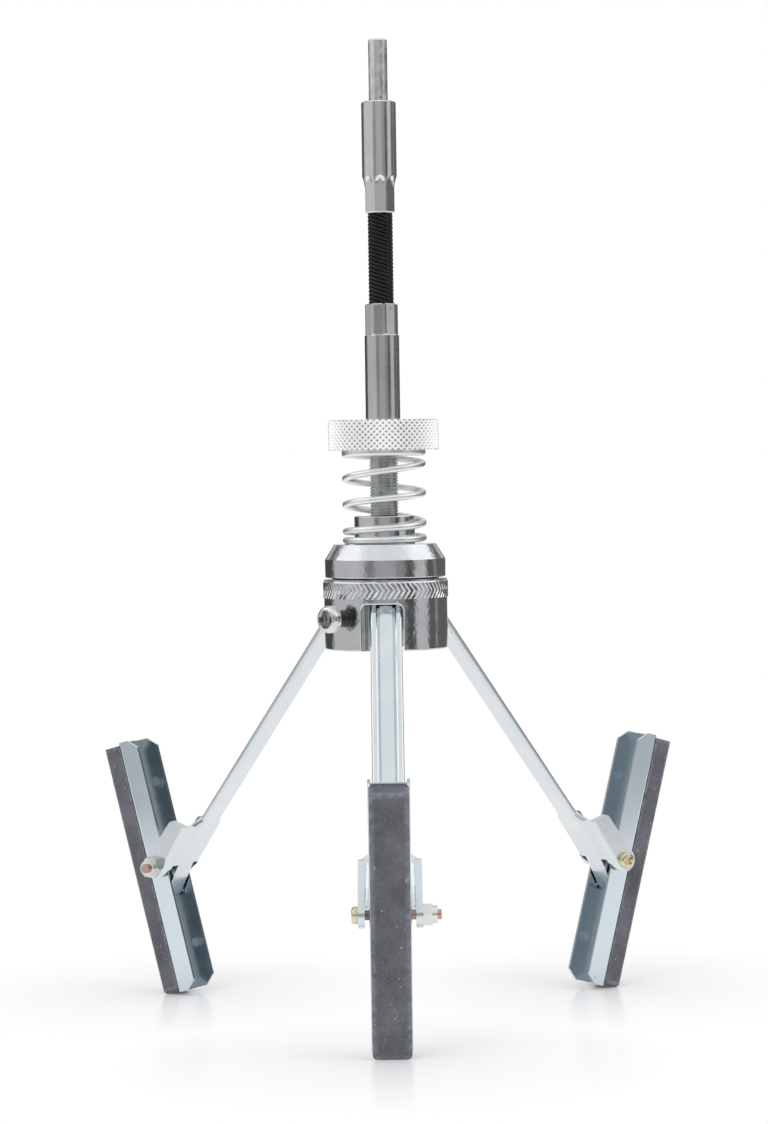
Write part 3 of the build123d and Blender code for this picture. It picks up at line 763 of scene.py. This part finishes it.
class HONE_OT_knob(bpy.types.Operator):
    """Cuts the diamond knurl of the tension knob"""

    bl_idname = "hone.knob"
    bl_label = "Tension knob"

    def execute(self, context):
        size = sizes()
        bottom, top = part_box("tension_knob")
        radius = top.x
        valley = radius - size.knob_knurl
        bore = high("spindle").x + size.knob_play
        rim = size.knob_rim
        step = (top.z - bottom.z - 2 * rim) / size.knob_rows
        inner = radius - rim
        profile = [(bore, bottom.z), (inner, bottom.z)]
        profile += [(valley, bottom.z + rim + k * step) for k in range(size.knob_rows + 1)]
        profile += [(inner, top.z), (bore, top.z), (bore, bottom.z)]
        piece = ring_stack("tension_knob_knurled", profile, 2 * size.knob_cells, closed=True)
        factor = radius / valley
        for vertex in piece.data.vertices:
            row = (vertex.co.z - bottom.z - rim) / step
            if from_axis(vertex.co) > bore * 2 and -0.1 < row < size.knob_rows + 0.1:
                column = round(atan2(vertex.co.y, vertex.co.x) / FULL_TURN * 2 * size.knob_cells)
                if (column + round(row)) % 2 == 0:
                    vertex.co.x *= factor
                    vertex.co.y *= factor
        take(piece)
        edit()
        bpy.ops.mesh.select_all(action="SELECT")
        bpy.ops.mesh.quads_convert_to_tris(quad_method="LONGEST_DIAGONAL")
        leave()
        smooth(piece, 12)
        # Each vertex at the bottom of a groove gets a mask that darkens it: painted shade between the ridges
        pits = piece.data.attributes.new("pit", "FLOAT", "POINT")
        for vertex, mark in zip(piece.data.vertices, pits.data):
            in_shaded_groove = abs(from_axis(vertex.co) - valley) < size.knob_knurl / 4
            mark.value = 1.0 if in_shaded_groove else 0.0
        dressed(piece, finish("Knurled steel"), "bright_steel", "knob", "tension_knob")
        return {"FINISHED"}


def threaded(name, radius, depth, pitch, z_low, turns, steps=36):
    """A thread's ridge, wound right-handed up from z_low with its crest at radius."""
    deselect()
    root = radius - depth
    middle = z_low + pitch / 2
    bpy.ops.mesh.primitive_plane_add(
        size=1, location=(root + depth / 2, 0, middle), rotation=(pi / 2, 0, 0))
    ridge = bpy.context.object
    size = sizes()
    ridge.scale = (depth * size.thread_sink, pitch * size.thread_base, 1)
    settle(ridge)
    for vertex in ridge.data.vertices:
        if vertex.co.x > root + depth / 2:
            vertex.co.x = radius
            vertex.co.z = middle + (vertex.co.z - middle) * size.thread_crest
    named(name)
    apply_modifier(
        ridge, "SCREW", angle=FULL_TURN * turns, screw_offset=pitch * turns, steps=steps * turns,
        render_steps=steps * turns, use_merge_vertices=False, use_normal_calculate=False)
    return outward(ridge)


class HONE_OT_spindle(bpy.types.Operator):
    """Cuts the spindle's thread"""

    bl_idname = "hone.spindle"
    bl_label = "Threaded spindle"

    def execute(self, context):
        size = sizes()
        bottom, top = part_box("spindle")
        root = top.x - size.thread_depth
        neck_r = size.spindle_neck_d / 2
        tail_r = size.spindle_tail_d / 2
        shoulder = low("spider").z + size.shoulder_height
        neck = low("lower_ferrule").z
        core = ring_stack(
            "spindle_core",
            [(tail_r, bottom.z), (tail_r, shoulder), (root, shoulder), (root, neck), (neck_r, neck),
             (neck_r, top.z)], 48)
        smooth(core)
        turns = int((neck - shoulder) / size.thread_pitch) - 1
        ridge = threaded("spindle_thread", top.x, size.thread_depth, size.thread_pitch, shoulder, turns)
        piece = smooth(join("spindle_threaded", [core, ridge]), 35)
        dressed(piece, finish("Grey steel"), "black_steel", "head", "spindle")
        return {"FINISHED"}


def spring_height(turn):
    """How high the wire's middle is after turn, through the half turns' rises with smooth slopes."""
    rises = list(sizes().spring_rises)
    place = min(2 * turn, len(rises) - 1e-6)
    k = int(place)
    part = place - k
    before = rises[max(0, k - 1)]
    after = rises[min(len(rises) - 1, k + 1)]
    slope_in = (before + rises[k]) / 2
    slope_out = (rises[k] + after) / 2
    curve = part * part * (3 - 2 * part)
    bend_in = part * (1 - part) ** 2
    bend_out = part * part * (part - 1)
    return sum(rises[:k]) + curve * rises[k] + bend_in * slope_in + bend_out * slope_out


def wire(name, path, diameter):
    """A round wire along the points of path."""
    deselect()
    bpy.ops.curve.primitive_nurbs_path_add()
    curve = bpy.context.object
    curve.data.splines.clear()
    spline = curve.data.splines.new("POLY")
    spline.points.add(len(path) - 1)
    for place, point in zip(spline.points, path):
        place.co = (*point, 1)
    curve.data.bevel_depth = diameter / 2
    curve.data.bevel_resolution = 5
    curve.data.use_fill_caps = True
    take(curve)
    bpy.ops.object.convert(target="MESH")
    return settle(named(name))


def ground_flat(piece, z):
    """Grinds away what stands above z."""
    take(piece)
    edit()
    bpy.ops.mesh.select_all(action="SELECT")
    bpy.ops.mesh.bisect(plane_co=(0, 0, z), plane_no=(0, 0, 1), use_fill=True, clear_outer=True)
    leave()
    return outward(piece)


class HONE_OT_spring(bpy.types.Operator):
    """Winds the tension spring in two lengths, split in the ratio of the cap's travel to the knob's"""

    bl_idname = "hone.spring"
    bl_label = "Tension spring"

    def execute(self, context):
        size = sizes()
        bottom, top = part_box("tension_spring")
        radius = top.x - size.wire_d / 2
        joints = {j["name"]: j for j in frame["joints"]}
        cap_travel = joints["cap_travel"]["range_m"][1]
        knob_travel = -joints["washer_travel"]["range_m"][0]
        span = top.z - bottom.z
        z_mid = bottom.z + span * cap_travel / (cap_travel + knob_travel)
        steps = 60
        points = []
        for k in range(int(size.spring_turns * steps) + 1):
            turn = k / steps
            at = size.spring_start + FULL_TURN * turn
            z = bottom.z + size.wire_d / 2 + spring_height(turn)
            points.append(Vector((radius * cos(at), radius * sin(at), z)))
        split = next(k for k, point in enumerate(points) if point.z > z_mid)
        lengths = (("lower", points[:split + 1], "cap_travel"), ("upper", points[split:], "washer_travel"))
        for name, path, joint in lengths:
            piece = wire(f"tension_spring_{name}", path, size.wire_d)
            if name == "upper":
                ground_flat(piece, top.z)
            smooth(piece, 50)
            dressed(piece, finish("Spring zinc"), "blue_zinc", "head")
            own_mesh(piece)
            if name == "lower":
                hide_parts("tension_spring")
        return {"FINISHED"}


def column(name, outline, z_low, z_high):
    """An upright piece whose section is the closed outline of (x, y) points."""
    deselect()
    bpy.ops.mesh.primitive_circle_add(
        vertices=len(outline), radius=0.01, fill_type="NGON", location=(0, 0, z_low))
    piece = settle(named(name))
    for vertex, (x, y) in zip(piece.data.vertices, outline):
        vertex.co.x = x
        vertex.co.y = y
    take(piece)
    edit()
    bpy.ops.mesh.select_all(action="SELECT")
    bpy.ops.mesh.extrude_region_move(TRANSFORM_OT_translate={"value": (0, 0, z_high - z_low)})
    leave()
    return outward(piece)


def slot_rims(sleeve):
    """Rounds the rim of each slot with a thin bead, which follows the slot's outline; its lighter, rougher
    steel is a painted highlight along the edge.
    """
    size = sizes()
    bottom = low("head_sleeve").z + size.slot_rim / 2
    top = low("head_sleeve").z + size.slot_height
    wall = max(from_axis(v.co) for v in sleeve.data.vertices if v.co.z < top) - size.slot_rim / 4
    half = size.slot_width / 2 + size.slot_rim / 4
    corner = size.slot_corner
    arc = [radians(90 * k / 6) for k in range(7)]
    right = [(half, bottom)]
    right += [(half - corner + corner * cos(at), top - corner + corner * sin(at)) for at in arc]
    across = [((half - corner) * (1 - k / 4), top) for k in range(1, 4)]
    outline = right + across + [(0, top)]
    outline += [(-x, z) for x, z in reversed(right + across)]
    path = [Vector((x, -sqrt(wall ** 2 - x ** 2), z)) for x, z in outline]
    first = wire("slot_rim_front", path, size.slot_rim)
    first.data.transform(Matrix.Rotation(size.sleeve_turn, 4, "Z"))
    smooth(first, 50)
    for name, turn_deg in ARM_TURNS.items():
        piece = first if name == "front" else turned_copy(first, f"slot_rim_{name}", turn_deg)
        dressed(piece, finish("Rim steel"), "chrome", "head")


class HONE_OT_head(bpy.types.Operator):
    """Dresses the cap, the slotted sleeve and what is inside it"""

    bl_idname = "hone.head"
    bl_label = "Head"

    def execute(self, context):
        size = sizes()
        chrome = finish("Chrome")
        cap = finished_copy("head_cap", "head_cap_finish", size.cap_edge)
        dressed(cap, chrome, "chrome", "cap", "head_cap")
        sleeve = finished_copy("head_sleeve", "head_sleeve_finish", size.sleeve_edge, segments=1)
        dressed(sleeve, chrome, "chrome", "head", "head_sleeve")
        slot_rims(sleeve)
        frame["nodes"]["spring_washer"].data.materials[0] = finish("Spring zinc")
        for node in ("end_washer", "end_nut", "hinge_pins"):
            frame["nodes"][node].data.materials[0] = finish("Bright steel")
        frame["nodes"]["spider"].data.materials[0] = finish("Casting")
        return {"FINISHED"}


class HONE_OT_cheeks(bpy.types.Operator):
    """Fills the wide side of each slot with the grooved cheek of the casting"""

    bl_idname = "hone.cheeks"
    bl_label = "Cheeks"

    def execute(self, context):
        size = sizes()
        right = -size.arm_width / 2 - size.cheek_gap
        left = right - size.cheek_width
        middle = (left + right) / 2 + size.cheek_groove / 2
        face = -size.cheek_reach
        back = face + size.cheek_depth
        groove = face + size.groove_depth
        outline = (
            (left, back), (left, face), (middle - size.cheek_groove / 2, face),
            (middle - size.cheek_groove / 2, groove), (middle + size.cheek_groove / 2, groove),
            (middle + size.cheek_groove / 2, face), (right, face), (right, back),
        )
        bottom = low("head_sleeve").z
        first = column("cheek_front", outline, bottom, bottom + size.slot_height + size.cheek_groove)
        apply_modifier(first, "BEVEL", width=size.edge_round, segments=2, limit_method="ANGLE")
        smooth(first)
        for name, turn_deg in ARM_TURNS.items():
            piece = first if name == "front" else turned_copy(first, f"cheek_{name}", turn_deg)
            dressed(piece, finish("Casting"), "grey_iron", "head")
        return {"FINISHED"}


class HONE_OT_lock_screw(bpy.types.Operator):
    """Cuts the lock screw's thread and blackens its shank"""

    bl_idname = "hone.lock_screw"
    bl_label = "Lock screw"

    def execute(self, context):
        size = sizes()
        screw = finished_copy("lock_screw", "lock_screw_finish", size.edge_round)
        dressed(screw, finish("Nut zinc"), "bright_steel", "head", "lock_screw")
        bottom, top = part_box("lock_screw")
        across = Vector((cos(size.lock_turn), sin(size.lock_turn), 0))
        outer = max(Vector((v.co.x, v.co.y, 0)).dot(across) for v in screw.data.vertices)
        inner = min(Vector((v.co.x, v.co.y, 0)).dot(across) for v in screw.data.vertices)
        shank = outer - size.lock_head - inner
        marks = screw.data.attributes.new("thread", "FLOAT", "POINT")
        for vertex, mark in zip(screw.data.vertices, marks.data):
            out = vertex.co.dot(across)
            off = vertex.co - across * out - Vector((0, 0, (bottom.z + top.z) / 2))
            on_thread = out < inner + shank + size.edge_round / 2 and off.length < size.lock_d * 0.6
            mark.value = 1.0 if on_thread else 0.0
        turns = int(shank / size.lock_pitch) - 1
        thread_depth = size.lock_pitch / 2
        ridge = threaded(
            "lock_screw_thread", size.lock_d / 2 + thread_depth / 4, thread_depth, size.lock_pitch,
            inner, turns, steps=24)
        to_place = Matrix.Translation((0, 0, (bottom.z + top.z) / 2)) @ Matrix.Rotation(
            size.lock_turn, 4, "Z") @ Matrix.Rotation(pi / 2, 4, "Y")
        ridge.data.transform(to_place)
        smooth(ridge)
        dressed(ridge, finish("Black screw"), "black_steel", "head")
        return {"FINISHED"}


class HONE_OT_sleeve_knurl(bpy.types.Operator):
    """Cuts the chevron knurl round the top of the sleeve"""

    bl_idname = "hone.sleeve_knurl"
    bl_label = "Sleeve knurl"

    def execute(self, context):
        size = sizes()
        top = high("head_sleeve").z - size.knurl_drop
        crest = high("head_sleeve").x
        groove = crest - size.sleeve_knurl
        sunk = groove - size.edge_round
        bottom = top - size.knurl_height
        sleeve = bpy.data.objects["head_sleeve_finish"]
        for vertex in sleeve.data.vertices:
            reach = from_axis(vertex.co)
            if reach > crest - size.sleeve_knurl / 2:
                vertex.co.x *= sunk / reach
                vertex.co.y *= sunk / reach
        rows = 8
        lip = high("head_sleeve").z
        teeth = [(groove, bottom + size.knurl_height * k / rows) for k in range(rows + 1)]
        chamfer = size.lip_chamfer
        profile = [(sunk, bottom), *teeth, (crest, top), (crest - chamfer, lip), (sunk - chamfer, lip)]
        columns = 4 * size.sleeve_teeth
        piece = ring_stack("sleeve_knurl", profile + profile[:1], columns, closed=True)
        for vertex in piece.data.vertices:
            reach = from_axis(vertex.co)
            if abs(reach - groove) > size.edge_round / 4:
                continue
            row = (vertex.co.z - bottom) / size.knurl_height
            at = atan2(vertex.co.y, vertex.co.x)
            on_crest = round(at / FULL_TURN * columns) % 4 != 0
            grown = crest if on_crest else groove + size.sleeve_knurl * row * size.groove_rise
            at += size.knurl_slope * (1 - abs(2 * row - 1))
            vertex.co.x = grown * cos(at)
            vertex.co.y = grown * sin(at)
        smooth(piece, 15)
        dressed(piece, finish("Chrome"), "chrome", "head")
        return {"FINISHED"}


def shortened_flare(arm):
    """Draws the arm's taper into the short shoulder of a stamped yoke."""
    size = sizes()
    joints = {j["name"]: j for j in frame["joints"]}
    hinge = Vector(joints["front_arm_swing"]["pos_m"])
    along = Vector((0, -sin(size.arm_open), -cos(size.arm_open)))
    for vertex in arm.data.vertices:
        place = (vertex.co - hinge).dot(along)
        before = size.shoulder - place
        if 0 < before < 1.3 * size.taper:
            vertex.co += along * before * (1 - size.shoulder_length / size.taper)


def marked_thread(screw):
    """Marks the screw's thread and its bare end, which the nut's side shows."""
    head = low("arm_front").x
    end = high("pivot_screw_front").x - sizes().edge_round / 2
    marks = screw.data.attributes.new("thread", "FLOAT", "POINT")
    ends = screw.data.attributes.new("thread_end", "FLOAT", "POINT")
    for vertex, mark, bare in zip(screw.data.vertices, marks.data, ends.data):
        mark.value = 1.0 if vertex.co.x > head else 0.0
        bare.value = 1.0 if vertex.co.x > end else 0.0


class HONE_OT_arms(bpy.types.Operator):
    """Rounds the edges of the stamped arms, their screws and nuts"""

    bl_idname = "hone.arms"
    bl_label = "Arms"

    def execute(self, context):
        size = sizes()
        kinds = (
            ("arm", "Blue zinc", "blue_zinc", size.sheet_round, shortened_flare),
            ("pivot_screw", "Yellow zinc", "yellow_zinc", size.edge_round, None),
            ("lock_nut", "Nut zinc", "yellow_zinc", size.edge_round, None),
        )
        for kind, tone, slot, rounding, shaped in kinds:
            first = finished_copy(f"{kind}_front", f"{kind}_front_finish", rounding, shaped=shaped)
            if kind == "pivot_screw":
                marked_thread(first)
            for name, turn_deg in ARM_TURNS.items():
                piece = first if name == "front" else turned_copy(first, f"{kind}_{name}_finish", turn_deg)
                dressed(piece, finish(tone), slot, f"{name}_arm", f"{kind}_{name}")
        return {"FINISHED"}


def stone_frame():
    """The front stone's own frame at its middle, and half its width, thickness and length."""
    lean = sizes().stone_lean
    bottom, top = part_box("stone_front")
    tall = top.z - bottom.z
    deep = top.y - bottom.y
    half_length = (tall * cos(lean) - deep * sin(lean)) / cos(2 * lean) / 2
    half_thick = (deep * cos(lean) - tall * sin(lean)) / cos(2 * lean) / 2
    place = Matrix.Translation((bottom + top) / 2) @ Matrix.Rotation(lean, 4, "X")
    return place, Vector((top.x, half_thick, half_length))


def scored(piece, point, normal):
    """Cuts a line of edges round a piece."""
    take(piece)
    edit()
    bpy.ops.mesh.select_all(action="SELECT")
    bpy.ops.mesh.bisect(plane_co=point, plane_no=normal)
    leave()


def rubbed(stone):
    """Marks the borders of the stone that rub against the cylinder's wall."""
    size = sizes()
    place, half = stone_frame()
    turned = place.to_3x3()
    border = Vector((half.x - size.stone_rub, half.y - size.stone_rub / 2, half.z - size.stone_rub))
    for axis in range(3):
        for side in (-1, 1):
            offset = Vector((0, 0, 0))
            offset[axis] = side * border[axis]
            direction = Vector((0, 0, 0))
            direction[axis] = 1
            scored(stone, place @ offset, turned @ direction)
    wear = stone.data.attributes.new("wear", "FLOAT", "POINT")
    to_own = place.inverted()
    for vertex, mark in zip(stone.data.vertices, wear.data):
        own = to_own @ vertex.co
        edges = sum(abs(own[axis]) > border[axis] + 1e-5 for axis in range(3))
        mark.value = 1.0 if edges > 1 else 0.0
    return smooth(stone)


def halved(holder):
    """Scores the holder across its middle, so that each half can carry its own weld marks."""
    place, half = stone_frame()
    scored(holder, place.to_translation(), place.to_3x3() @ Vector((0, 0, 1)))


def weld_marks(holder):
    """Gives the insides of the flanges their place from the nearest weld, in weld radii."""
    size = sizes()
    place, half = stone_frame()
    to_own = place.inverted()
    owns = [to_own @ v.co for v in holder.data.vertices]
    free_edge = max(own.y for own in owns)
    weld_y = free_edge - size.weld_drop
    marks = holder.data.attributes.new("weld_place", "FLOAT_VECTOR", "POINT")
    for own, mark in zip(owns, marks.data):
        outside = 0 if abs(own.x) < half.x else 9
        mark.vector = (
            outside, (own.y - weld_y) / size.weld_radius, (abs(own.z) - size.weld_reach) / size.weld_radius)


class HONE_OT_stones(bpy.types.Operator):
    """Dresses the holders and the stones"""

    bl_idname = "hone.stones"
    bl_label = "Stones and holders"

    def execute(self, context):
        size = sizes()
        holder = finished_copy(
            "stone_holder_front", "stone_holder_front_finish", size.edge_round, shaped=halved)
        weld_marks(holder)
        stone = rubbed(finished_copy("stone_front", "stone_front_finish", size.sheet_round))
        for name, turn_deg in ARM_TURNS.items():
            front = name == "front"
            piece = holder if front else turned_copy(holder, f"stone_holder_{name}_finish", turn_deg)
            dressed(piece, finish("Holder zinc"), "blue_zinc", f"{name}_stone", f"stone_holder_{name}")
            piece = stone if front else turned_copy(stone, f"stone_{name}_finish", turn_deg)
            dressed(piece, finish("Abrasive"), "abrasive", f"{name}_stone", f"stone_{name}")
        return {"FINISHED"}


# Stage

def near_feet(tree, reach):
    """1 at the foot of a stone, fading to 0 at reach."""
    place = tree.nodes.new("ShaderNodeTexCoord").outputs["Object"]
    nearest = reach
    for name in ARM_TURNS:
        bottom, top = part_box(f"stone_{name}")
        foot = (bottom + top) / 2
        turn = radians(ARM_TURNS[name] - 90)
        own_lean = (top.z - bottom.z) / 2 * tan(sizes().stone_lean)
        away = tree.nodes.new("ShaderNodeVectorMath")
        away.operation = "DISTANCE"
        away.inputs[1].default_value = (
            foot.x - own_lean * cos(turn), foot.y - own_lean * sin(turn), bottom.z)
        tree.links.new(place, away.inputs[0])
        nearest = maths(tree, "MINIMUM", nearest, away.outputs["Value"])
    return ranged(tree, nearest, 0.0, reach, 1.0, 0.0)


def floor_material():
    """A glossy white floor that fades to plain white away from the stones."""
    setting = stage()
    material = bpy.data.materials.new("Floor")
    material.use_nodes = True
    tree = material.node_tree
    shader = tree.nodes["Principled BSDF"]
    shader.inputs["Base Color"].default_value = (*setting.floor, 1)
    shader.inputs["Roughness"].default_value = setting.floor_roughness
    shader.inputs["Specular IOR Level"].default_value = 0.8
    white = tree.nodes.new("ShaderNodeEmission")
    white.inputs["Strength"].default_value = 1.0
    close = near_feet(tree, setting.mirror_reach)
    plain = ranged(tree, close, 0.0, 1.0, setting.plain_far, setting.plain_near)
    path = tree.nodes.new("ShaderNodeLightPath")
    shown = maths(tree, "MAXIMUM", path.outputs["Is Camera Ray"], path.outputs["Is Glossy Ray"])
    shown = maths(tree, "MAXIMUM", shown, path.outputs["Is Transmission Ray"])
    blend = tree.nodes.new("ShaderNodeMixShader")
    tree.links.new(maths(tree, "MULTIPLY", shown, plain), blend.inputs[0])
    tree.links.new(shader.outputs[0], blend.inputs[1])
    tree.links.new(white.outputs[0], blend.inputs[2])
    tree.links.new(blend.outputs[0], tree.nodes["Material Output"].inputs["Surface"])
    return material


def band_ramp(tree, place, bands, soft_deg=2.0):
    """A ramp round the room: each band has its last turn in degrees and its level."""
    ramp = tree.nodes.new("ShaderNodeValToRGB")
    tree.links.new(place, ramp.inputs["Fac"])
    points = ramp.color_ramp.elements
    points.remove(points[1])
    points[0].position = 0.0
    points[0].color = (bands[0][1], bands[0][1], bands[0][1], 1)
    for (end_deg, level), (_, next_level) in zip(bands, bands[1:]):
        for turn_deg, tone in ((end_deg - soft_deg, level), (end_deg + soft_deg, next_level)):
            point = points.new((turn_deg + 180) / 360)
            point.color = (tone, tone, tone, 1)
    return ramp.outputs["Color"]


def studio_world():
    """A white room with tall dark flags round it, which polished metal shows as bands."""
    world = bpy.data.worlds.new("Studio")
    bpy.context.scene.world = world
    world.use_nodes = True
    tree = world.node_tree
    background = tree.nodes["Background"]
    split = tree.nodes.new("ShaderNodeSeparateXYZ")
    tree.links.new(tree.nodes.new("ShaderNodeTexCoord").outputs["Generated"], split.inputs[0])
    back = maths(tree, "MULTIPLY", split.outputs["Y"], -1.0)
    turn = maths(tree, "ARCTAN2", split.outputs["X"], back)
    place = ranged(tree, turn, -pi, pi)
    level = band_ramp(tree, place, LEVEL_BANDS)
    middle = band_ramp(tree, place, MIDDLE_BANDS)
    raised = band_ramp(tree, place, RAISED_BANDS, 5.0)
    height = split.outputs["Z"]
    lifted = mixed(tree, ranged(tree, height, 0.12, 0.2), level, middle)
    brow = mixed(tree, ranged(tree, height, 0.38, 0.44), lifted, band_ramp(tree, place, BROW_BANDS, 5.0))
    above = mixed(tree, ranged(tree, height, 0.5, 0.55), brow, raised)
    room = mixed(tree, ranged(tree, height, 0.75, 0.87), above, (0.93, 0.94, 0.96, 1))
    under = mixed(tree, ranged(tree, height, -0.9, -0.3), (0.8, 0.8, 0.8, 1), room)
    path = tree.nodes.new("ShaderNodeLightPath")
    soft = mixed(tree, path.outputs["Is Diffuse Ray"], under, (0.8, 0.8, 0.82, 1))
    seen = mixed(tree, path.outputs["Is Camera Ray"], soft, (1, 1, 1, 1))
    tree.links.new(seen, background.inputs["Color"])
    background.inputs["Strength"].default_value = 1.0


class HONE_OT_stage(bpy.types.Operator):
    """Sets the floor, the studio light and the camera"""

    bl_idname = "hone.stage"
    bl_label = "Stage"

    def execute(self, context):
        setting = stage()
        scene = context.scene
        scene.view_settings.view_transform = "Standard"
        floor_z = min(low(f"stone_{name}").z for name in ARM_TURNS)
        deselect()
        bpy.ops.mesh.primitive_cylinder_add(
            vertices=96, radius=setting.floor_radius, depth=setting.floor_depth,
            location=(0, 0, floor_z - setting.floor_depth / 2))
        floor = settle(named("floor"))
        floor.data.materials.append(floor_material())
        studio_world()
        for name, place, size_m, power in LAMPS:
            deselect()
            bpy.ops.object.light_add(type="AREA", location=place)
            lamp = bpy.context.object
            lamp.name = name
            lamp.data.shape = "SQUARE"
            lamp.data.size = size_m
            lamp.data.energy = power
            lamp.visible_glossy = False
            aim = Vector((0, 0, low("head_sleeve").z))
            lamp.rotation_euler = (aim - Vector(place)).to_track_quat("-Z", "Y").to_euler()
        data = bpy.data.cameras.new("camera")
        data.sensor_fit = "VERTICAL"
        data.sensor_height = 36.0
        data.lens = setting.lens
        data.clip_end = 20.0
        camera = bpy.data.objects.new("camera", data)
        scene.collection.objects.link(camera)
        place = Matrix.Translation((-setting.side, -setting.distance, floor_z + setting.camera_height))
        aim = Matrix.Rotation(pi / 2 - setting.pitch, 4, "X") @ Matrix.Rotation(-setting.roll, 4, "Z")
        camera.matrix_world = place @ aim
        scene.camera = camera
        return {"FINISHED"}


class HONE_PT_pieces(bpy.types.Panel):
    """Lists the steps that build the hone"""

    bl_idname = "HONE_PT_pieces"
    bl_label = "Cylinder hone"
    bl_space_type = "VIEW_3D"
    bl_region_type = "UI"
    bl_category = "Hone"

    def draw(self, context):
        for step in STEPS:
            self.layout.operator(step.bl_idname)
        for group in (sizes(), finishes(), stage()):
            for key in group.bl_rna.properties.keys():
                if key not in {"rna_type", "name"}:
                    self.layout.prop(group, key)


STEPS = (
    HONE_OT_finishes, HONE_OT_drive, HONE_OT_flex, HONE_OT_knob, HONE_OT_spindle, HONE_OT_spring,
    HONE_OT_head, HONE_OT_cheeks, HONE_OT_lock_screw, HONE_OT_sleeve_knurl, HONE_OT_arms, HONE_OT_stones,
    HONE_OT_stage,
)
GROUPS = {"hone_sizes": HoneSizes, "hone_finishes": HoneFinishes, "hone_stage": HoneStage}


def register():
    for cls in (*GROUPS.values(), *STEPS, HONE_PT_pieces):
        bpy.utils.register_class(cls)
    for name, cls in GROUPS.items():
        setattr(bpy.types.Scene, name, bpy.props.PointerProperty(type=cls))


def unregister():
    for name in GROUPS:
        delattr(bpy.types.Scene, name)
    for cls in reversed((*GROUPS.values(), *STEPS, HONE_PT_pieces)):
        bpy.utils.unregister_class(cls)


def main():
    register()
    for step in STEPS:
        family, _, action = step.bl_idname.partition(".")
        getattr(getattr(bpy.ops, family), action)()


if __name__ == "__main__":
    main()
